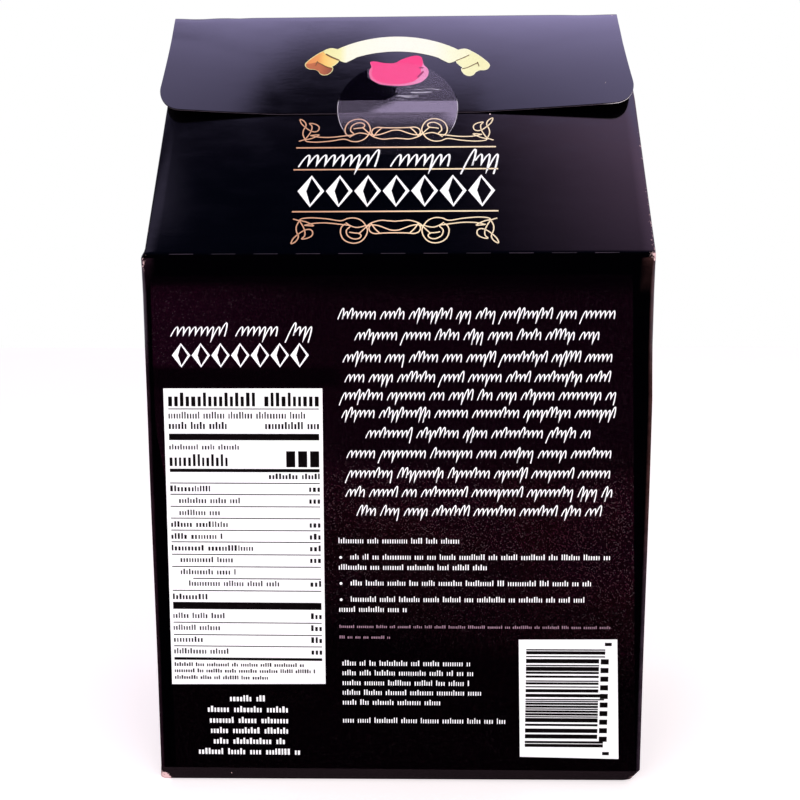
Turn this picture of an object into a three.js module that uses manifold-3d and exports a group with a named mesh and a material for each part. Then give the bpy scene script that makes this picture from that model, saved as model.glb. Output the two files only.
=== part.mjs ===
// A shut gable-top paperboard carton for nut brittle, with a clear round seal over its closing flap.
// Millimetres: the front panel faces -Y, +Z is up and the base stands on z = 0.

import * as THREE from 'three';
import { mergeVertices } from 'three/addons/utils/BufferGeometryUtils.js';
import Module from 'manifold-3d';

// Body: a box with rounded upright corners and a base strip that tucks in under the front crease
const bodyWidth = 172;
const bodyDepth = 113;
const eaveHeight = 188.2;
const cornerRadius = 2.3;
const cornerSteps = 4;
const stripHeight = 5.3;
const stripTuck = 2.2;
const baseEdgeHeight = 0.9;
const baseInset = 3.3;

// Roof: two slopes that meet in a ridge, their ends doubled by the gusset folded in behind them
const roofRise = 95.9;
const boardThickness = 0.7;
const bendRadius = 0.6;
const bendSteps = 5;
const wingThickness = 1.4;
const ridgeRightEnd = 83.4;
const ridgeTaperHeight = 36;
const ridgeSettle = 1.5;

// Closing flap: comes over the ridge from the back slope and lies on the front slope
const flapLength = { left: 49.6, right: 48.2 };
const flapCornerRadius = 8.5;
const flapAtRidge = { left: -87.6, right: 83 };
const flapAtEdge = { left: -88.2, right: 85.6 };
const flapLift = { left: 3.8, right: 4.8 };
const flapPressedHalfWidth = 27;
const flapEmbed = 0.25;
const flapRows = 8;
const flapColumns = 26;

// Seal: a thin clear disc stuck over the middle of the flap's lower edge
const sealRadius = 21.5;
const sealThickness = 0.3;
const sealGap = 0.32;
const sealCentre = { across: -0.9, down: 45.8 };
const sealOverhang = 0.6;
const sealStep = 2;
const sealSides = 56;

const wasm = await Module();
wasm.setup();

// Centre of the bend along the ridge, and the two slopes that are tangent to its inner and outer faces
const bendCentreHeight = eaveHeight + roofRise - bendRadius - boardThickness;

function slopeAngle(offset) {
  const run = bodyDepth / 2;
  const rise = bendCentreHeight - eaveHeight;
  return Math.atan2(rise, run) + Math.asin(offset / Math.hypot(run, rise));
}

const frontAngle = slopeAngle(bendRadius);
const backAngle = slopeAngle(bendRadius + boardThickness);

// A point of the front slope: across the carton, down from the ridge, and out from the slope's face
function slopePoint(across, down, out) {
  const reach = bendRadius + out;
  const y = -Math.sin(frontAngle) * reach - Math.cos(frontAngle) * down;
  const z = bendCentreHeight + Math.cos(frontAngle) * reach - Math.sin(frontAngle) * down;
  return [across, y, z];
}

// A point of the ridge's bend, turned from the front slope (0) to the back slope (1)
function bendPoint(across, turn, out) {
  const angle = -frontAngle + (frontAngle + backAngle) * turn;
  const reach = bendRadius + out;
  return [across, Math.sin(angle) * reach, bendCentreHeight + Math.cos(angle) * reach];
}

function meshFrom(points, triangles) {
  const geometry = new THREE.BufferGeometry();
  geometry.setAttribute('position', new THREE.Float32BufferAttribute(points.flat(), 3));
  geometry.setIndex(triangles.flat());
  return geometry;
}

// A closed skin over rings of equal length, each end closed by a fan from its first point
function loft(rings) {
  const size = rings[0].length;
  const triangles = [];
  for (let ring = 0; ring + 1 < rings.length; ring++) {
    for (let i = 0; i < size; i++) {
      const a = ring * size + i;
      const b = ring * size + (i + 1) % size;
      triangles.push([a, b, b + size], [a, b + size, a + size]);
    }
  }
  const top = (rings.length - 1) * size;
  for (let i = 1; i + 1 < size; i++) {
    triangles.push([0, i + 1, i], [top, top + i, top + i + 1]);
  }
  return meshFrom(rings.flat(), triangles);
}

function toSolid(geometry) {
  const bare = geometry.clone();
  bare.deleteAttribute('normal');
  bare.deleteAttribute('uv');
  const merged = mergeVertices(bare, 1e-5);
  return new wasm.Manifold(new wasm.Mesh({
    numProp: 3,
    vertProperties: merged.attributes.position.array,
    triVerts: merged.index.array,
  }));
}

// The ridge has settled a little towards the right end
function settle(position) {
  for (let i = 0; i < position.count; i++) {
    const across = position.getX(i) / bodyWidth + 0.5;
    const up = Math.max(0, (position.getZ(i) - eaveHeight) / roofRise);
    position.setZ(i, position.getZ(i) - ridgeSettle * across * up);
  }
}

function toMesh(solid, name, material) {
  const result = solid.getMesh();
  const geometry = new THREE.BufferGeometry();
  geometry.setAttribute('position', new THREE.BufferAttribute(result.vertProperties, 3));
  settle(geometry.attributes.position);
  geometry.setIndex(new THREE.BufferAttribute(result.triVerts, 1));
  const mesh = new THREE.Mesh(geometry, material);
  mesh.name = name;
  return mesh;
}

// A prism over an outline of [y, z] points, running across the carton
function prismAcross(outline, length) {
  const shape = new THREE.Shape(outline.map(([y, z]) => new THREE.Vector2(y, z)));
  const geometry = new THREE.ExtrudeGeometry(shape, { depth: length, bevelEnabled: false });
  geometry.translate(0, 0, -length / 2);
  geometry.applyMatrix4(new THREE.Matrix4().makeBasis(
    new THREE.Vector3(0, 1, 0), new THREE.Vector3(0, 0, 1), new THREE.Vector3(1, 0, 0)));
  return geometry;
}

// A prism over an outline of [x, z] points, running from front to back
function prismThrough(outline, length) {
  const shape = new THREE.Shape(outline.map(([x, z]) => new THREE.Vector2(x, z)));
  const geometry = new THREE.ExtrudeGeometry(shape, { depth: length, bevelEnabled: false });
  geometry.rotateX(Math.PI / 2);
  geometry.translate(0, length / 2, 0);
  return geometry;
}

function roundedRing(inset, height) {
  const radius = cornerRadius + inset * 0.3;
  const halfWidth = bodyWidth / 2 - inset - radius;
  const halfDepth = bodyDepth / 2 - inset - radius;
  const ring = [];
  for (let corner = 0; corner < 4; corner++) {
    const signX = corner === 0 || corner === 3 ? 1 : -1;
    const signY = corner < 2 ? 1 : -1;
    for (let step = 0; step <= cornerSteps; step++) {
      const angle = (corner + step / cornerSteps) * Math.PI / 2;
      const x = signX * halfWidth + radius * Math.cos(angle);
      const y = signY * halfDepth + radius * Math.sin(angle);
      ring.push([x, y, height]);
    }
  }
  return ring;
}

// The upright column that the body and the roof are both cut from
function makeColumn() {
  return toSolid(loft([
    roundedRing(baseInset, 0),
    roundedRing(stripTuck, baseEdgeHeight),
    roundedRing(0, stripHeight),
    roundedRing(0, eaveHeight + roofRise + 10),
  ]));
}

function makeHouse() {
  const frontTop = slopePoint(0, 0, 0);
  const backTop = bendPoint(0, 1, boardThickness);
  return toSolid(prismAcross([
    [-bodyDepth / 2 - 1, -1],
    [bodyDepth / 2 + 1, -1],
    [bodyDepth / 2 + 1, eaveHeight - Math.tan(backAngle)],
    [backTop[1], backTop[2]],
    [frontTop[1], frontTop[2]],
    [-bodyDepth / 2 - 1, eaveHeight - Math.tan(frontAngle)],
  ], bodyWidth + 20));
}

// The roof's right end draws in a little towards the ridge
function makeEndTrim() {
  const top = eaveHeight + roofRise;
  const side = bodyWidth / 2 + 5;
  return toSolid(prismThrough([
    [-side, -5],
    [side, -5],
    [side, top - ridgeTaperHeight],
    [bodyWidth / 2, top - ridgeTaperHeight],
    [ridgeRightEnd, top],
    [ridgeRightEnd, top + 5],
    [-side, top + 5],
  ], bodyDepth + 20));
}

// The hollow under one end of the roof, where the side panel folds in and leans back to the ridge
function makeGussetHollow(side) {
  const innerY = bodyDepth / 2 - wingThickness / Math.sin(frontAngle);
  const peak = eaveHeight + innerY * Math.tan(frontAngle);
  const apex = [side * (bodyWidth - bodyDepth) / 2, 0, peak];
  const mouth = [
    [side * bodyWidth / 2, -innerY, eaveHeight],
    [side * bodyWidth / 2, innerY, eaveHeight],
    [side * bodyWidth / 2, 0, peak],
  ];
  const reach = 1.06;
  const outer = mouth.map((corner) => corner.map((value, i) => apex[i] + (value - apex[i]) * reach));
  const faces = [[1, 2, 3], [0, 2, 1], [0, 3, 2], [0, 1, 3]];
  const turned = side > 0 ? faces : faces.map(([a, b, c]) => [a, c, b]);
  return toSolid(meshFrom([apex, ...outer], turned));
}

// How far the flap springs off the slope, nothing in the middle where the seal presses it down
function liftAt(across, down) {
  const free = Math.max(0, Math.abs(across) - flapPressedHalfWidth);
  const span = bodyWidth / 2 - flapPressedHalfWidth;
  const end = across < 0 ? flapLift.left : flapLift.right;
  return end * Math.pow(free / span, 1.3) * Math.pow(down / flapLength.left, 1.2);
}

// Columns stand closer together towards both ends, where the corners are round
function flapShare(column) {
  return (1 - Math.cos(Math.PI * column / flapColumns)) / 2;
}

function flapEndAt(share) {
  const width = flapAtEdge.right - flapAtEdge.left;
  const length = flapLength.left + (flapLength.right - flapLength.left) * share;
  const fromSide = Math.min(share, 1 - share) * width;
  const short = Math.max(0, flapCornerRadius - fromSide);
  return length - flapCornerRadius + Math.sqrt(flapCornerRadius ** 2 - short ** 2);
}

function flapAcross(share, down) {
  const t = down / flapLength.left;
  const left = flapAtRidge.left + (flapAtEdge.left - flapAtRidge.left) * t;
  const right = flapAtRidge.right + (flapAtEdge.right - flapAtRidge.right) * t;
  return left + (right - left) * share;
}

function makeFlap() {
  const rings = [];
  for (let column = 0; column <= flapColumns; column++) {
    const share = flapShare(column);
    const end = flapEndAt(share);
    const outer = [];
    const inner = [];
    for (let step = bendSteps; step > 0; step--) {
      outer.push(bendPoint(flapAcross(share, 0), step / bendSteps, boardThickness));
      inner.push(bendPoint(flapAcross(share, 0), step / bendSteps, -flapEmbed));
    }
    for (let row = 0; row <= flapRows; row++) {
      const down = end * row / flapRows;
      const across = flapAcross(share, down);
      const under = liftAt(across, down) - flapEmbed;
      outer.push(slopePoint(across, down, Math.max(under, 0) + boardThickness));
      inner.push(slopePoint(across, down, under));
    }
    rings.push([...outer, ...inner.reverse()]);
  }
  return toSolid(loft(rings));
}

function makeSeal() {
  const top = sealCentre.down - sealRadius - 2;
  const bottom = sealCentre.down + sealRadius + 2;
  const bendTop = flapEndAt(0.5) + sealOverhang;
  const bendFoot = bendTop + sealStep;
  const raised = boardThickness + sealGap;
  const profile = [
    [top, raised],
    [bendTop, raised],
    [bendFoot, sealGap],
    [bottom, sealGap],
    [bottom, sealGap + sealThickness],
    [bendFoot + 0.1, sealGap + sealThickness],
    [bendTop + 0.1, raised + sealThickness],
    [top, raised + sealThickness],
  ].map(([down, out]) => slopePoint(0, down, out).slice(1));
  const strip = toSolid(prismAcross(profile, sealRadius * 3));
  const disc = new THREE.CylinderGeometry(sealRadius, sealRadius, 20, sealSides);
  disc.rotateX(Math.PI / 2 + frontAngle);
  disc.translate(...slopePoint(sealCentre.across, sealCentre.down, 0));
  return strip.intersect(toSolid(disc));
}

function makeCarton() {
  return makeColumn()
    .intersect(makeHouse())
    .intersect(makeEndTrim())
    .subtract(makeGussetHollow(1))
    .subtract(makeGussetHollow(-1))
    .add(makeFlap());
}

const blackBoard = new THREE.MeshStandardMaterial({ color: 0x14101a, roughness: 0.28, metalness: 0 });
const clearFilm = new THREE.MeshStandardMaterial({ color: 0xcfc8dc, roughness: 0.12, metalness: 0 });

const carton = new THREE.Group();
carton.add(toMesh(makeCarton(), 'carton', blackBoard));
carton.add(toMesh(makeSeal(), 'closure_seal', clearFilm));

export default carton;
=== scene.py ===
# A shut gable-top carton for nut brittle: printed board, a closing flap over the ridge, a clear round seal.
# Sizes are in millimetres until a point is placed. The front panel faces -Y and +Z is up.

import itertools
import math
import random

import bmesh
import bpy
from mathutils import Matrix, Vector


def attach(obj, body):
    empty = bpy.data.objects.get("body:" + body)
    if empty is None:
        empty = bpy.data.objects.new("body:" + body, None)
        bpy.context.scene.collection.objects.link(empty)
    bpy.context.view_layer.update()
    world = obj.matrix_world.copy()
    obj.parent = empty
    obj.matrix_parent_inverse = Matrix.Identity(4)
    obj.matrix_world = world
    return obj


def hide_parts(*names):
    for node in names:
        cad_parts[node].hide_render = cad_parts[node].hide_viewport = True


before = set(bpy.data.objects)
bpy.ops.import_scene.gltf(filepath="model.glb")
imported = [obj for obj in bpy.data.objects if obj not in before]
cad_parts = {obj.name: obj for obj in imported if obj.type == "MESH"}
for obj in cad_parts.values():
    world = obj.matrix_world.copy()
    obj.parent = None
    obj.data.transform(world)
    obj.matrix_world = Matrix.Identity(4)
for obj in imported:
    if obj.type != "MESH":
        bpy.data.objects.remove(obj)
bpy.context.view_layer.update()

mm = 0.001

carton = {
    "width": 172,
    "depth": 113,
    "eaveHeight": 188.2,
    "roofRise": 95.9,
    "thickness": 0.7,
    "bendRadius": 0.6,
    "wingThickness": 1.4,
    # how far the side walls reach to the left (-1) and right (1); the box has swollen a little
    "lowEnds": {-1: 86.75, 1: 86.65},
    "ends": {-1: 87.12, 1: 87.05},
    "highEnds": {-1: 87.2, 1: 86.55},
    "lowBlend": (35, 120),  # heights between which the low reach turns into the middle one
    "highBlend": (138, 157),
    "roofEnds": {-1: 86.1, 1: 86.5},
    "eaveBlend": (-1, 2.5),  # heights off the eave between which the walls' reach turns into the roof's
    "ridgeEnds": {-1: 86.1, 1: 84.0},
    "taperHeight": 36,  # how far below the ridge the roof starts to narrow
    "ridgeSettle": 1.0,
    "cornerRadius": 1.9,
    "cornerGrow": 0.3,  # the corners get rounder by this share of what the base tucks in
    "cornerSharpens": (-9, 3),  # heights off the eave between which they turn into the roof's end edges
    "wingEdgeRadius": 0.75,
    "panelFold": 4.5,  # how softly the front and back panels turn into the roof
    "sideFold": 2.0,
    "stripHeight": 5.3,  # the walls tuck in below it to meet the base
    "stripTuck": 2.2,
    "baseEdgeHeight": 0.9,
    "baseInset": 3.3,
    "sideTuck": {-1: -0.3, 1: 0.95},  # the ends tuck in by this share of what the front does
    "leftEase": 1.6,  # the front tucks in this much less at its left end
    "baseFlap": 0.15,
    "panelBulge": 0.5,
    "shellTop": 279.5,
    "panelColumns": 44,
    "clearance": 0.03,
}
halfWidth = carton["width"] / 2
halfDepth = carton["depth"] / 2
eave = carton["eaveHeight"]
ridgeTop = eave + carton["roofRise"]
bendCentre = ridgeTop - carton["bendRadius"] - carton["thickness"]


def slopeAngle(offset):
    rise = bendCentre - eave
    return math.atan2(rise, halfDepth) + math.asin(offset / math.hypot(halfDepth, rise))


frontAngle = slopeAngle(carton["bendRadius"])
backAngle = slopeAngle(carton["bendRadius"] + carton["thickness"])
gussetMouth = halfDepth - carton["wingThickness"] / math.sin(frontAngle)
gussetPeak = eave + gussetMouth * math.tan(frontAngle)
gussetAngle = math.atan2(gussetPeak - eave, halfDepth)


def mix(first, last, share):
    return first + (last - first) * share


def smoothStep(low, high, value):
    t = min(1, max(0, (value - low) / (high - low)))
    return t * t * (3 - 2 * t)


def placed(x, y, z):  # the ridge has settled a little
    up = max(0, (z - eave) / carton["roofRise"])
    return Vector((x, y, z - carton["ridgeSettle"] * up)) * mm


def foldInset(height, angle, radius):
    # how far a panel stands in from its upright face, where it turns back at the eave with a soft fold
    turn = math.pi / 2 - angle
    rise = height - eave + radius * math.tan(turn / 2)
    if rise <= 0:
        return 0
    if rise < radius * math.sin(turn):
        return radius - math.sqrt(radius ** 2 - rise ** 2)
    return (height - eave) / math.tan(angle)


def baseInsetAt(height):
    edge, strip = carton["baseEdgeHeight"], carton["stripHeight"]
    if height < edge:
        return mix(carton["baseInset"], carton["stripTuck"], height / edge)
    return mix(carton["stripTuck"], 0, min(1, (height - edge) / (strip - edge)))


def easeAt(across, height):
    low = max(0, 1 - height / carton["stripHeight"])
    return carton["leftEase"] * (0.5 - across / carton["width"]) * low


def aroundEave(name):
    return [eave + step for step in carton[name]]


def wallEnd(side, height):
    form = carton
    taper = max(0, (height - ridgeTop) / form["taperHeight"] + 1)
    roof = mix(form["roofEnds"][side], form["ridgeEnds"][side], taper)
    wall = mix(form["lowEnds"][side], form["ends"][side], smoothStep(*form["lowBlend"], height))
    wall = mix(wall, form["highEnds"][side], smoothStep(*form["highBlend"], height))
    wall -= baseInsetAt(height) * form["sideTuck"][side]
    return mix(wall, roof, smoothStep(*aroundEave("eaveBlend"), height))


def bulgeAt(across, span, height):  # the panels swell a little in their middle
    if not carton["stripHeight"] < height < eave:
        return 0
    up = (height - carton["stripHeight"]) / (eave - carton["stripHeight"])
    return carton["panelBulge"] * math.cos(math.pi * min(0.5, abs(across) / span)) * math.sin(math.pi * up)


def frontPlace(across, height, out):
    y = halfDepth - baseInsetAt(height) - foldInset(height, frontAngle, carton["panelFold"])
    y += bulgeAt(across, carton["width"], height) + easeAt(across, height)
    return placed(across, -y - out, height)


def backPlace(across, height, out):  # across runs to the right seen from behind
    y = halfDepth - baseInsetAt(height) - foldInset(height, backAngle, carton["panelFold"])
    return placed(-across, y + bulgeAt(across, carton["width"], height) + out, height)


def rightPlace(across, height, out):
    return placed(wallEnd(1, height) + bulgeAt(across, carton["depth"], height) + out, across, height)


def leftPlace(across, height, out):
    return placed(-wallEnd(-1, height) - bulgeAt(across, carton["depth"], height) - out, -across, height)


def slopePlace(across, up, out):  # up is minus the distance down the slope from the ridge
    reach = carton["bendRadius"] + out
    y = -math.sin(frontAngle) * reach + math.cos(frontAngle) * up
    z = bendCentre + math.cos(frontAngle) * reach + math.sin(frontAngle) * up
    return placed(across, y, z)


def backSlopePlace(across, up, out):
    reach = carton["bendRadius"] + carton["thickness"] + out
    y = math.sin(backAngle) * reach - math.cos(backAngle) * up
    z = bendCentre + math.cos(backAngle) * reach + math.sin(backAngle) * up
    return placed(-across, y, z)


def bendPlace(across, turn, out):  # the ridge's bend, from the front slope (0) to the back slope (1)
    angle = mix(-frontAngle, backAngle, turn)
    reach = carton["bendRadius"] + out
    return placed(across, math.sin(angle) * reach, bendCentre + math.cos(angle) * reach)


def plug(tree, socket, value):
    if isinstance(value, bpy.types.NodeSocket):
        tree.links.new(value, socket)
    else:
        socket.default_value = value


def addNode(tree, kind, inputs=None, **settings):
    node = tree.nodes.new("ShaderNode" + kind)
    for name, value in settings.items():
        setattr(node, name, value)
    for name, value in (inputs or {}).items():
        plug(tree, node.inputs[name], value)
    return node


def calc(tree, operation, first, second=0.0, clamp=False):
    return addNode(tree, "Math", {0: first, 1: second}, operation=operation, use_clamp=clamp).outputs[0]


def stepBetween(tree, value, low, high, first=0.0, last=1.0):
    inputs = {"Value": value, "From Min": low, "From Max": high, "To Min": first, "To Max": last}
    return addNode(tree, "MapRange", inputs, interpolation_type="SMOOTHSTEP").outputs["Result"]


def blendColours(tree, share, first, second, kind="MIX"):
    inputs = {0: share, 6: first, 7: second}
    return addNode(tree, "Mix", inputs, data_type="RGBA", blend_type=kind).outputs[2]


def splitAxes(tree, vector):
    return addNode(tree, "SeparateXYZ", {"Vector": vector}).outputs


def noiseAt(tree, vector, scale, detail=2.0, roughness=0.5, distortion=0.0):
    inputs = {"Vector": vector, "Scale": scale, "Detail": detail, "Roughness": roughness,
              "Distortion": distortion}
    return addNode(tree, "TexNoise", inputs).outputs["Fac"]


def stretched(tree, vector, scale):
    return addNode(tree, "Mapping", {"Vector": vector, "Scale": scale}).outputs["Vector"]


def rampOf(tree, value, stops):
    ramp = addNode(tree, "ValToRGB", {"Fac": value})
    while len(ramp.color_ramp.elements) < len(stops):
        ramp.color_ramp.elements.new(0.5)
    for element, (place, colour) in zip(ramp.color_ramp.elements, stops):
        element.position = place
        element.color = (*colour, 1)
    return ramp.outputs["Color"]


def newGroup(name, inputs, outputs):
    tree = bpy.data.node_groups.new(name, "ShaderNodeTree")
    for label, kind in inputs.items():
        tree.interface.new_socket(label, in_out="INPUT", socket_type="NodeSocket" + kind)
    for label, kind in outputs.items():
        tree.interface.new_socket(label, in_out="OUTPUT", socket_type="NodeSocket" + kind)
    return tree, tree.nodes.new("NodeGroupInput").outputs, tree.nodes.new("NodeGroupOutput").inputs


def useGroup(tree, group, inputs):
    node = tree.nodes.new("ShaderNodeGroup")
    node.node_tree = group
    for name, value in inputs.items():
        plug(tree, node.inputs[name], value)
    return node.outputs


def makeInkGrain():  # scattered specks of several tones, and slow clouds
    tree, given, result = newGroup("inkGrain", {"Position": "Vector", "Grain": "Float"},
                                   {"Speck": "Float", "Tone": "Float", "Cloud": "Float"})
    inputs = {"Vector": given["Position"], "Scale": calc(tree, "DIVIDE", 1000.0, given["Grain"])}
    cell = addNode(tree, "TexVoronoi", inputs).outputs
    chance = addNode(tree, "SeparateColor", {"Color": cell["Color"]}).outputs
    dot = stepBetween(tree, cell["Distance"], 0.75, 0.35)
    plug(tree, result["Speck"], calc(tree, "MULTIPLY", stepBetween(tree, chance["Red"], 0.55, 1.0), dot))
    plug(tree, result["Tone"], chance["Green"])
    cloud = noiseAt(tree, given["Position"], 45.0, detail=4.0, roughness=0.6)
    plug(tree, result["Cloud"], stepBetween(tree, cloud, 0.32, 0.68))
    return tree


def makeBoardFibre():  # short fibres that lie along the board
    tree, given, result = newGroup("boardFibre", {"Position": "Vector"},
                                   {"Height": "Float", "Tone": "Float"})
    along = stretched(tree, given["Position"], (0.3, 0.3, 1.0))
    plug(tree, result["Height"], noiseAt(tree, along, 900.0, detail=3.0, roughness=0.6))
    plug(tree, result["Tone"], stepBetween(tree, noiseAt(tree, along, 260.0, detail=4.0), 0.3, 0.7))
    return tree


def makeRubbedEdge():  # where the print has rubbed off, broken up by noise
    tree, given, result = newGroup("rubbedEdge", {"Position": "Vector", "Rub": "Float"},
                                   {"Mask": "Float"})
    broken = noiseAt(tree, given["Position"], 620.0, detail=5.0, roughness=0.7)
    reach = calc(tree, "SUBTRACT", calc(tree, "MULTIPLY", given["Rub"], 1.1), broken)
    plug(tree, result["Mask"], stepBetween(tree, reach, -0.06, 0.06))
    return tree


def makeFineScratches():  # faint hairlines that only break the gloss
    tree, given, result = newGroup("fineScratches", {"Position": "Vector"}, {"Mask": "Float"})
    marks = 0.0
    for scale, distortion in (((14, 90, 260), 0.4), ((120, 60, 22), 0.7)):
        drawn = stretched(tree, given["Position"], scale)
        line = noiseAt(tree, drawn, 1.0, detail=1.0, distortion=distortion)
        ridge = calc(tree, "ABSOLUTE", calc(tree, "SUBTRACT", line, 0.5))
        marks = calc(tree, "ADD", marks, stepBetween(tree, ridge, 0.004, 0.0))
    plug(tree, result["Mask"], marks)
    return tree


inkGrain = makeInkGrain()
boardFibre = makeBoardFibre()
rubbedEdge = makeRubbedEdge()
fineScratches = makeFineScratches()


def newMaterial(name):
    material = bpy.data.materials.new(name)
    material.use_nodes = True
    tree = material.node_tree
    position = addNode(tree, "TexCoord").outputs["Object"]
    return material, tree, tree.nodes["Principled BSDF"], position


def attributeOf(tree, name):
    return addNode(tree, "Attribute", attribute_name=name).outputs["Fac"]


def bumpFrom(tree, height, strength, distance):
    inputs = {"Height": height, "Strength": strength, "Distance": distance}
    return addNode(tree, "Bump", inputs).outputs["Normal"]


boardLook = {
    "border": (0.0001, 0.00003, 0.0003, 1),
    "field": (0.0044, 0.0002, 0.0023, 1),
    "fieldBrown": (0.0053, 0.0005, 0.0016, 1),
    "fieldUpper": (0.0062, 0.0004, 0.0037, 1),
    # painted reflection: the bottom strip is lighter to stand in for the floor's light on the base edge
    "strip": (0.0100, 0.0064, 0.0080, 1),
    "rubbed": (0.70, 0.46, 0.47, 1),
    "foldRight": (0.050, 0.020, 0.019, 1),  # painted highlight along the folded corners, standing in for their reflection
    "foldRightLow": (0.040, 0.025, 0.038, 1),
    "foldLow": (110, 60),
    "foldLeft": (0.020, 0.008, 0.014, 1),
    "sheen": (0.94, 0.92, 1.0, 1),
    "grain": 0.36,
    "specks": [(0.0, (0.13, 0.014, 0.055)), (0.6, (0.15, 0.045, 0.060)), (1.0, (0.26, 0.20, 0.22))],
    "speckShare": 0.25,
    "speckFade": (106, 128, 1.1, 0.4),  # height from, to, and how thick the specks lie there and there
    "fieldLeft": -83.9,
    "leftNarrows": (135, 105, 0.0, 3.2),
    "fieldRight": 84.5,
    "rightLean": 0.0324,
    "fieldTop": 181.3,
    "fieldEdge": 0.3,
    "broadFrom": (1.6, 1.4),  # how far in from the front and back the corners' turn begins
    "topFade": (180, 172, 0.18, 0.8),
    # how strong the field is at each height: how much the step tilts, from, to, its share there and there
    "fieldSteps": ((0.08, 122, 109, 0.45, 1.0), (0.2, 85, 97, 0.56, 1.0), (0.2, 48, 74, 0.2, 1.0)),
    # across from, to, height from, to, softness, strength
    "patches": ((30, 70, 69, 76, 5, 0.3), (-20, -80, 152, 177, 3, 0.42), (-14, -24, 145, 149, 3, -0.22),
                (55, 75, 98, 113, 4, 0.2)),
    "sideFieldHalf": 50,
    "roughness": (0.09, 0.14),
    "bump": (0.025, 0.0002),
}


def windowAlong(tree, value, low, high, soft):
    return calc(tree, "MULTIPLY", stepBetween(tree, value, low - soft, low),
                stepBetween(tree, value, high + soft, high))


def fieldMask(tree, position):
    # the speckled field on each upright panel, cut off square above and fading out below
    look = boardLook
    soft = look["fieldEdge"]
    inMm = addNode(tree, "VectorMath", {0: position, "Scale": 1000.0}, operation="SCALE")
    x, y, z = splitAxes(tree, inMm.outputs["Vector"])
    corner = [halfDepth - inward for inward in look["broadFrom"]]
    onBroad = stepBetween(tree, calc(tree, "ABSOLUTE", y), *corner)
    facing = calc(tree, "MULTIPLY", calc(tree, "SIGN", y), calc(tree, "MULTIPLY", onBroad, -1.0))
    across = calc(tree, "MULTIPLY", x, facing)
    fromLeft = calc(tree, "SUBTRACT", across, stepBetween(tree, z, *look["leftNarrows"]))
    fromRight = calc(tree, "ADD", across, calc(tree, "MULTIPLY", z, look["rightLean"]))
    broad = calc(tree, "MULTIPLY", stepBetween(tree, fromLeft, look["fieldLeft"] - soft, look["fieldLeft"]),
                 stepBetween(tree, fromRight, look["fieldRight"] + soft, look["fieldRight"]))
    narrow = windowAlong(tree, y, -look["sideFieldHalf"], look["sideFieldHalf"], soft)
    sideways = addNode(tree, "Mix", {0: onBroad, 2: narrow, 3: broad}, data_type="FLOAT").outputs[0]
    strength = stepBetween(tree, z, *look["topFade"])
    for tilt, *step in look["fieldSteps"]:
        tilted = calc(tree, "ADD", z, calc(tree, "MULTIPLY", across, tilt))
        strength = calc(tree, "MULTIPLY", stepBetween(tree, tilted, *step), strength)
    for low, high, foot, top, fade, amount in look["patches"]:
        patch = calc(tree, "MULTIPLY", stepBetween(tree, across, low, high, 0.0, amount),
                     windowAlong(tree, z, foot, top, fade))
        strength = calc(tree, "ADD", strength, patch)
    below = stepBetween(tree, z, look["fieldTop"] + soft, look["fieldTop"])
    mask = calc(tree, "MULTIPLY", sideways, below)
    return calc(tree, "MULTIPLY", mask, strength), x, z


def fieldColour(tree, grain, height):
    look = boardLook
    low, high, thick, thin = look["speckFade"]
    tint = blendColours(tree, grain["Cloud"], look["field"], look["fieldBrown"])
    tint = blendColours(tree, stepBetween(tree, height, low, high), tint, look["fieldUpper"])
    share = stepBetween(tree, height, low, high, thick * look["speckShare"], thin * look["speckShare"])
    share = calc(tree, "MULTIPLY", grain["Speck"], share)
    return blendColours(tree, share, tint, rampOf(tree, grain["Tone"], look["specks"]))


# the painted highlight on the upright corners; on the right its tone changes lower down
def foldHighlightColour(tree, x, height):
    look = boardLook
    lower = stepBetween(tree, height, *look["foldLow"])
    right = blendColours(tree, lower, look["foldRight"], look["foldRightLow"])
    return blendColours(tree, stepBetween(tree, x, -10.0, 10.0), look["foldLeft"], right)


def makeBlackBoard():
    look = boardLook
    material, tree, shader, position = newMaterial("blackBoard")
    grain = useGroup(tree, inkGrain, {"Position": position, "Grain": look["grain"]})
    fibre = useGroup(tree, boardFibre, {"Position": position})
    scratches = useGroup(tree, fineScratches, {"Position": position})["Mask"]
    rubbed = useGroup(tree, rubbedEdge, {"Position": position, "Rub": attributeOf(tree, "rub")})["Mask"]
    field, x, height = fieldMask(tree, position)
    colour = blendColours(tree, field, look["border"], fieldColour(tree, grain, height))
    # the strip below the tuck gets its painted floor reflection
    onStrip = stepBetween(tree, height, carton["stripHeight"] + 0.1, carton["stripHeight"] - 0.1)
    colour = blendColours(tree, onStrip, colour, look["strip"])
    # painted highlight on the folded corners, broken up by the fibres
    worn = stepBetween(tree, fibre["Tone"], 0.0, 1.0, 0.6, 1.0)
    foldHighlight = calc(tree, "MULTIPLY", attributeOf(tree, "fold"), worn)
    colour = blendColours(tree, foldHighlight, colour, foldHighlightColour(tree, x, height))
    colour = blendColours(tree, rubbed, colour, look["rubbed"])
    plug(tree, shader.inputs["Base Color"], colour)
    dull = calc(tree, "MULTIPLY", scratches, 0.4)
    dull = calc(tree, "ADD", calc(tree, "MULTIPLY", fibre["Tone"], 0.6), dull)
    dull = calc(tree, "MAXIMUM", dull, rubbed, clamp=True)
    plug(tree, shader.inputs["Roughness"], stepBetween(tree, dull, 0.0, 1.0, *look["roughness"]))
    shader.inputs["Specular Tint"].default_value = look["sheen"]
    # the shine layer raises the specular strength near the flap's ridge as a painted highlight
    plug(tree, shader.inputs["Specular IOR Level"], calc(tree, "MULTIPLY", attributeOf(tree, "shine"), 0.5))
    relief = calc(tree, "ADD", fibre["Height"], calc(tree, "MULTIPLY", rubbed, 2.0))
    plug(tree, shader.inputs["Normal"], bumpFrom(tree, relief, *look["bump"]))
    return material


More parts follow.
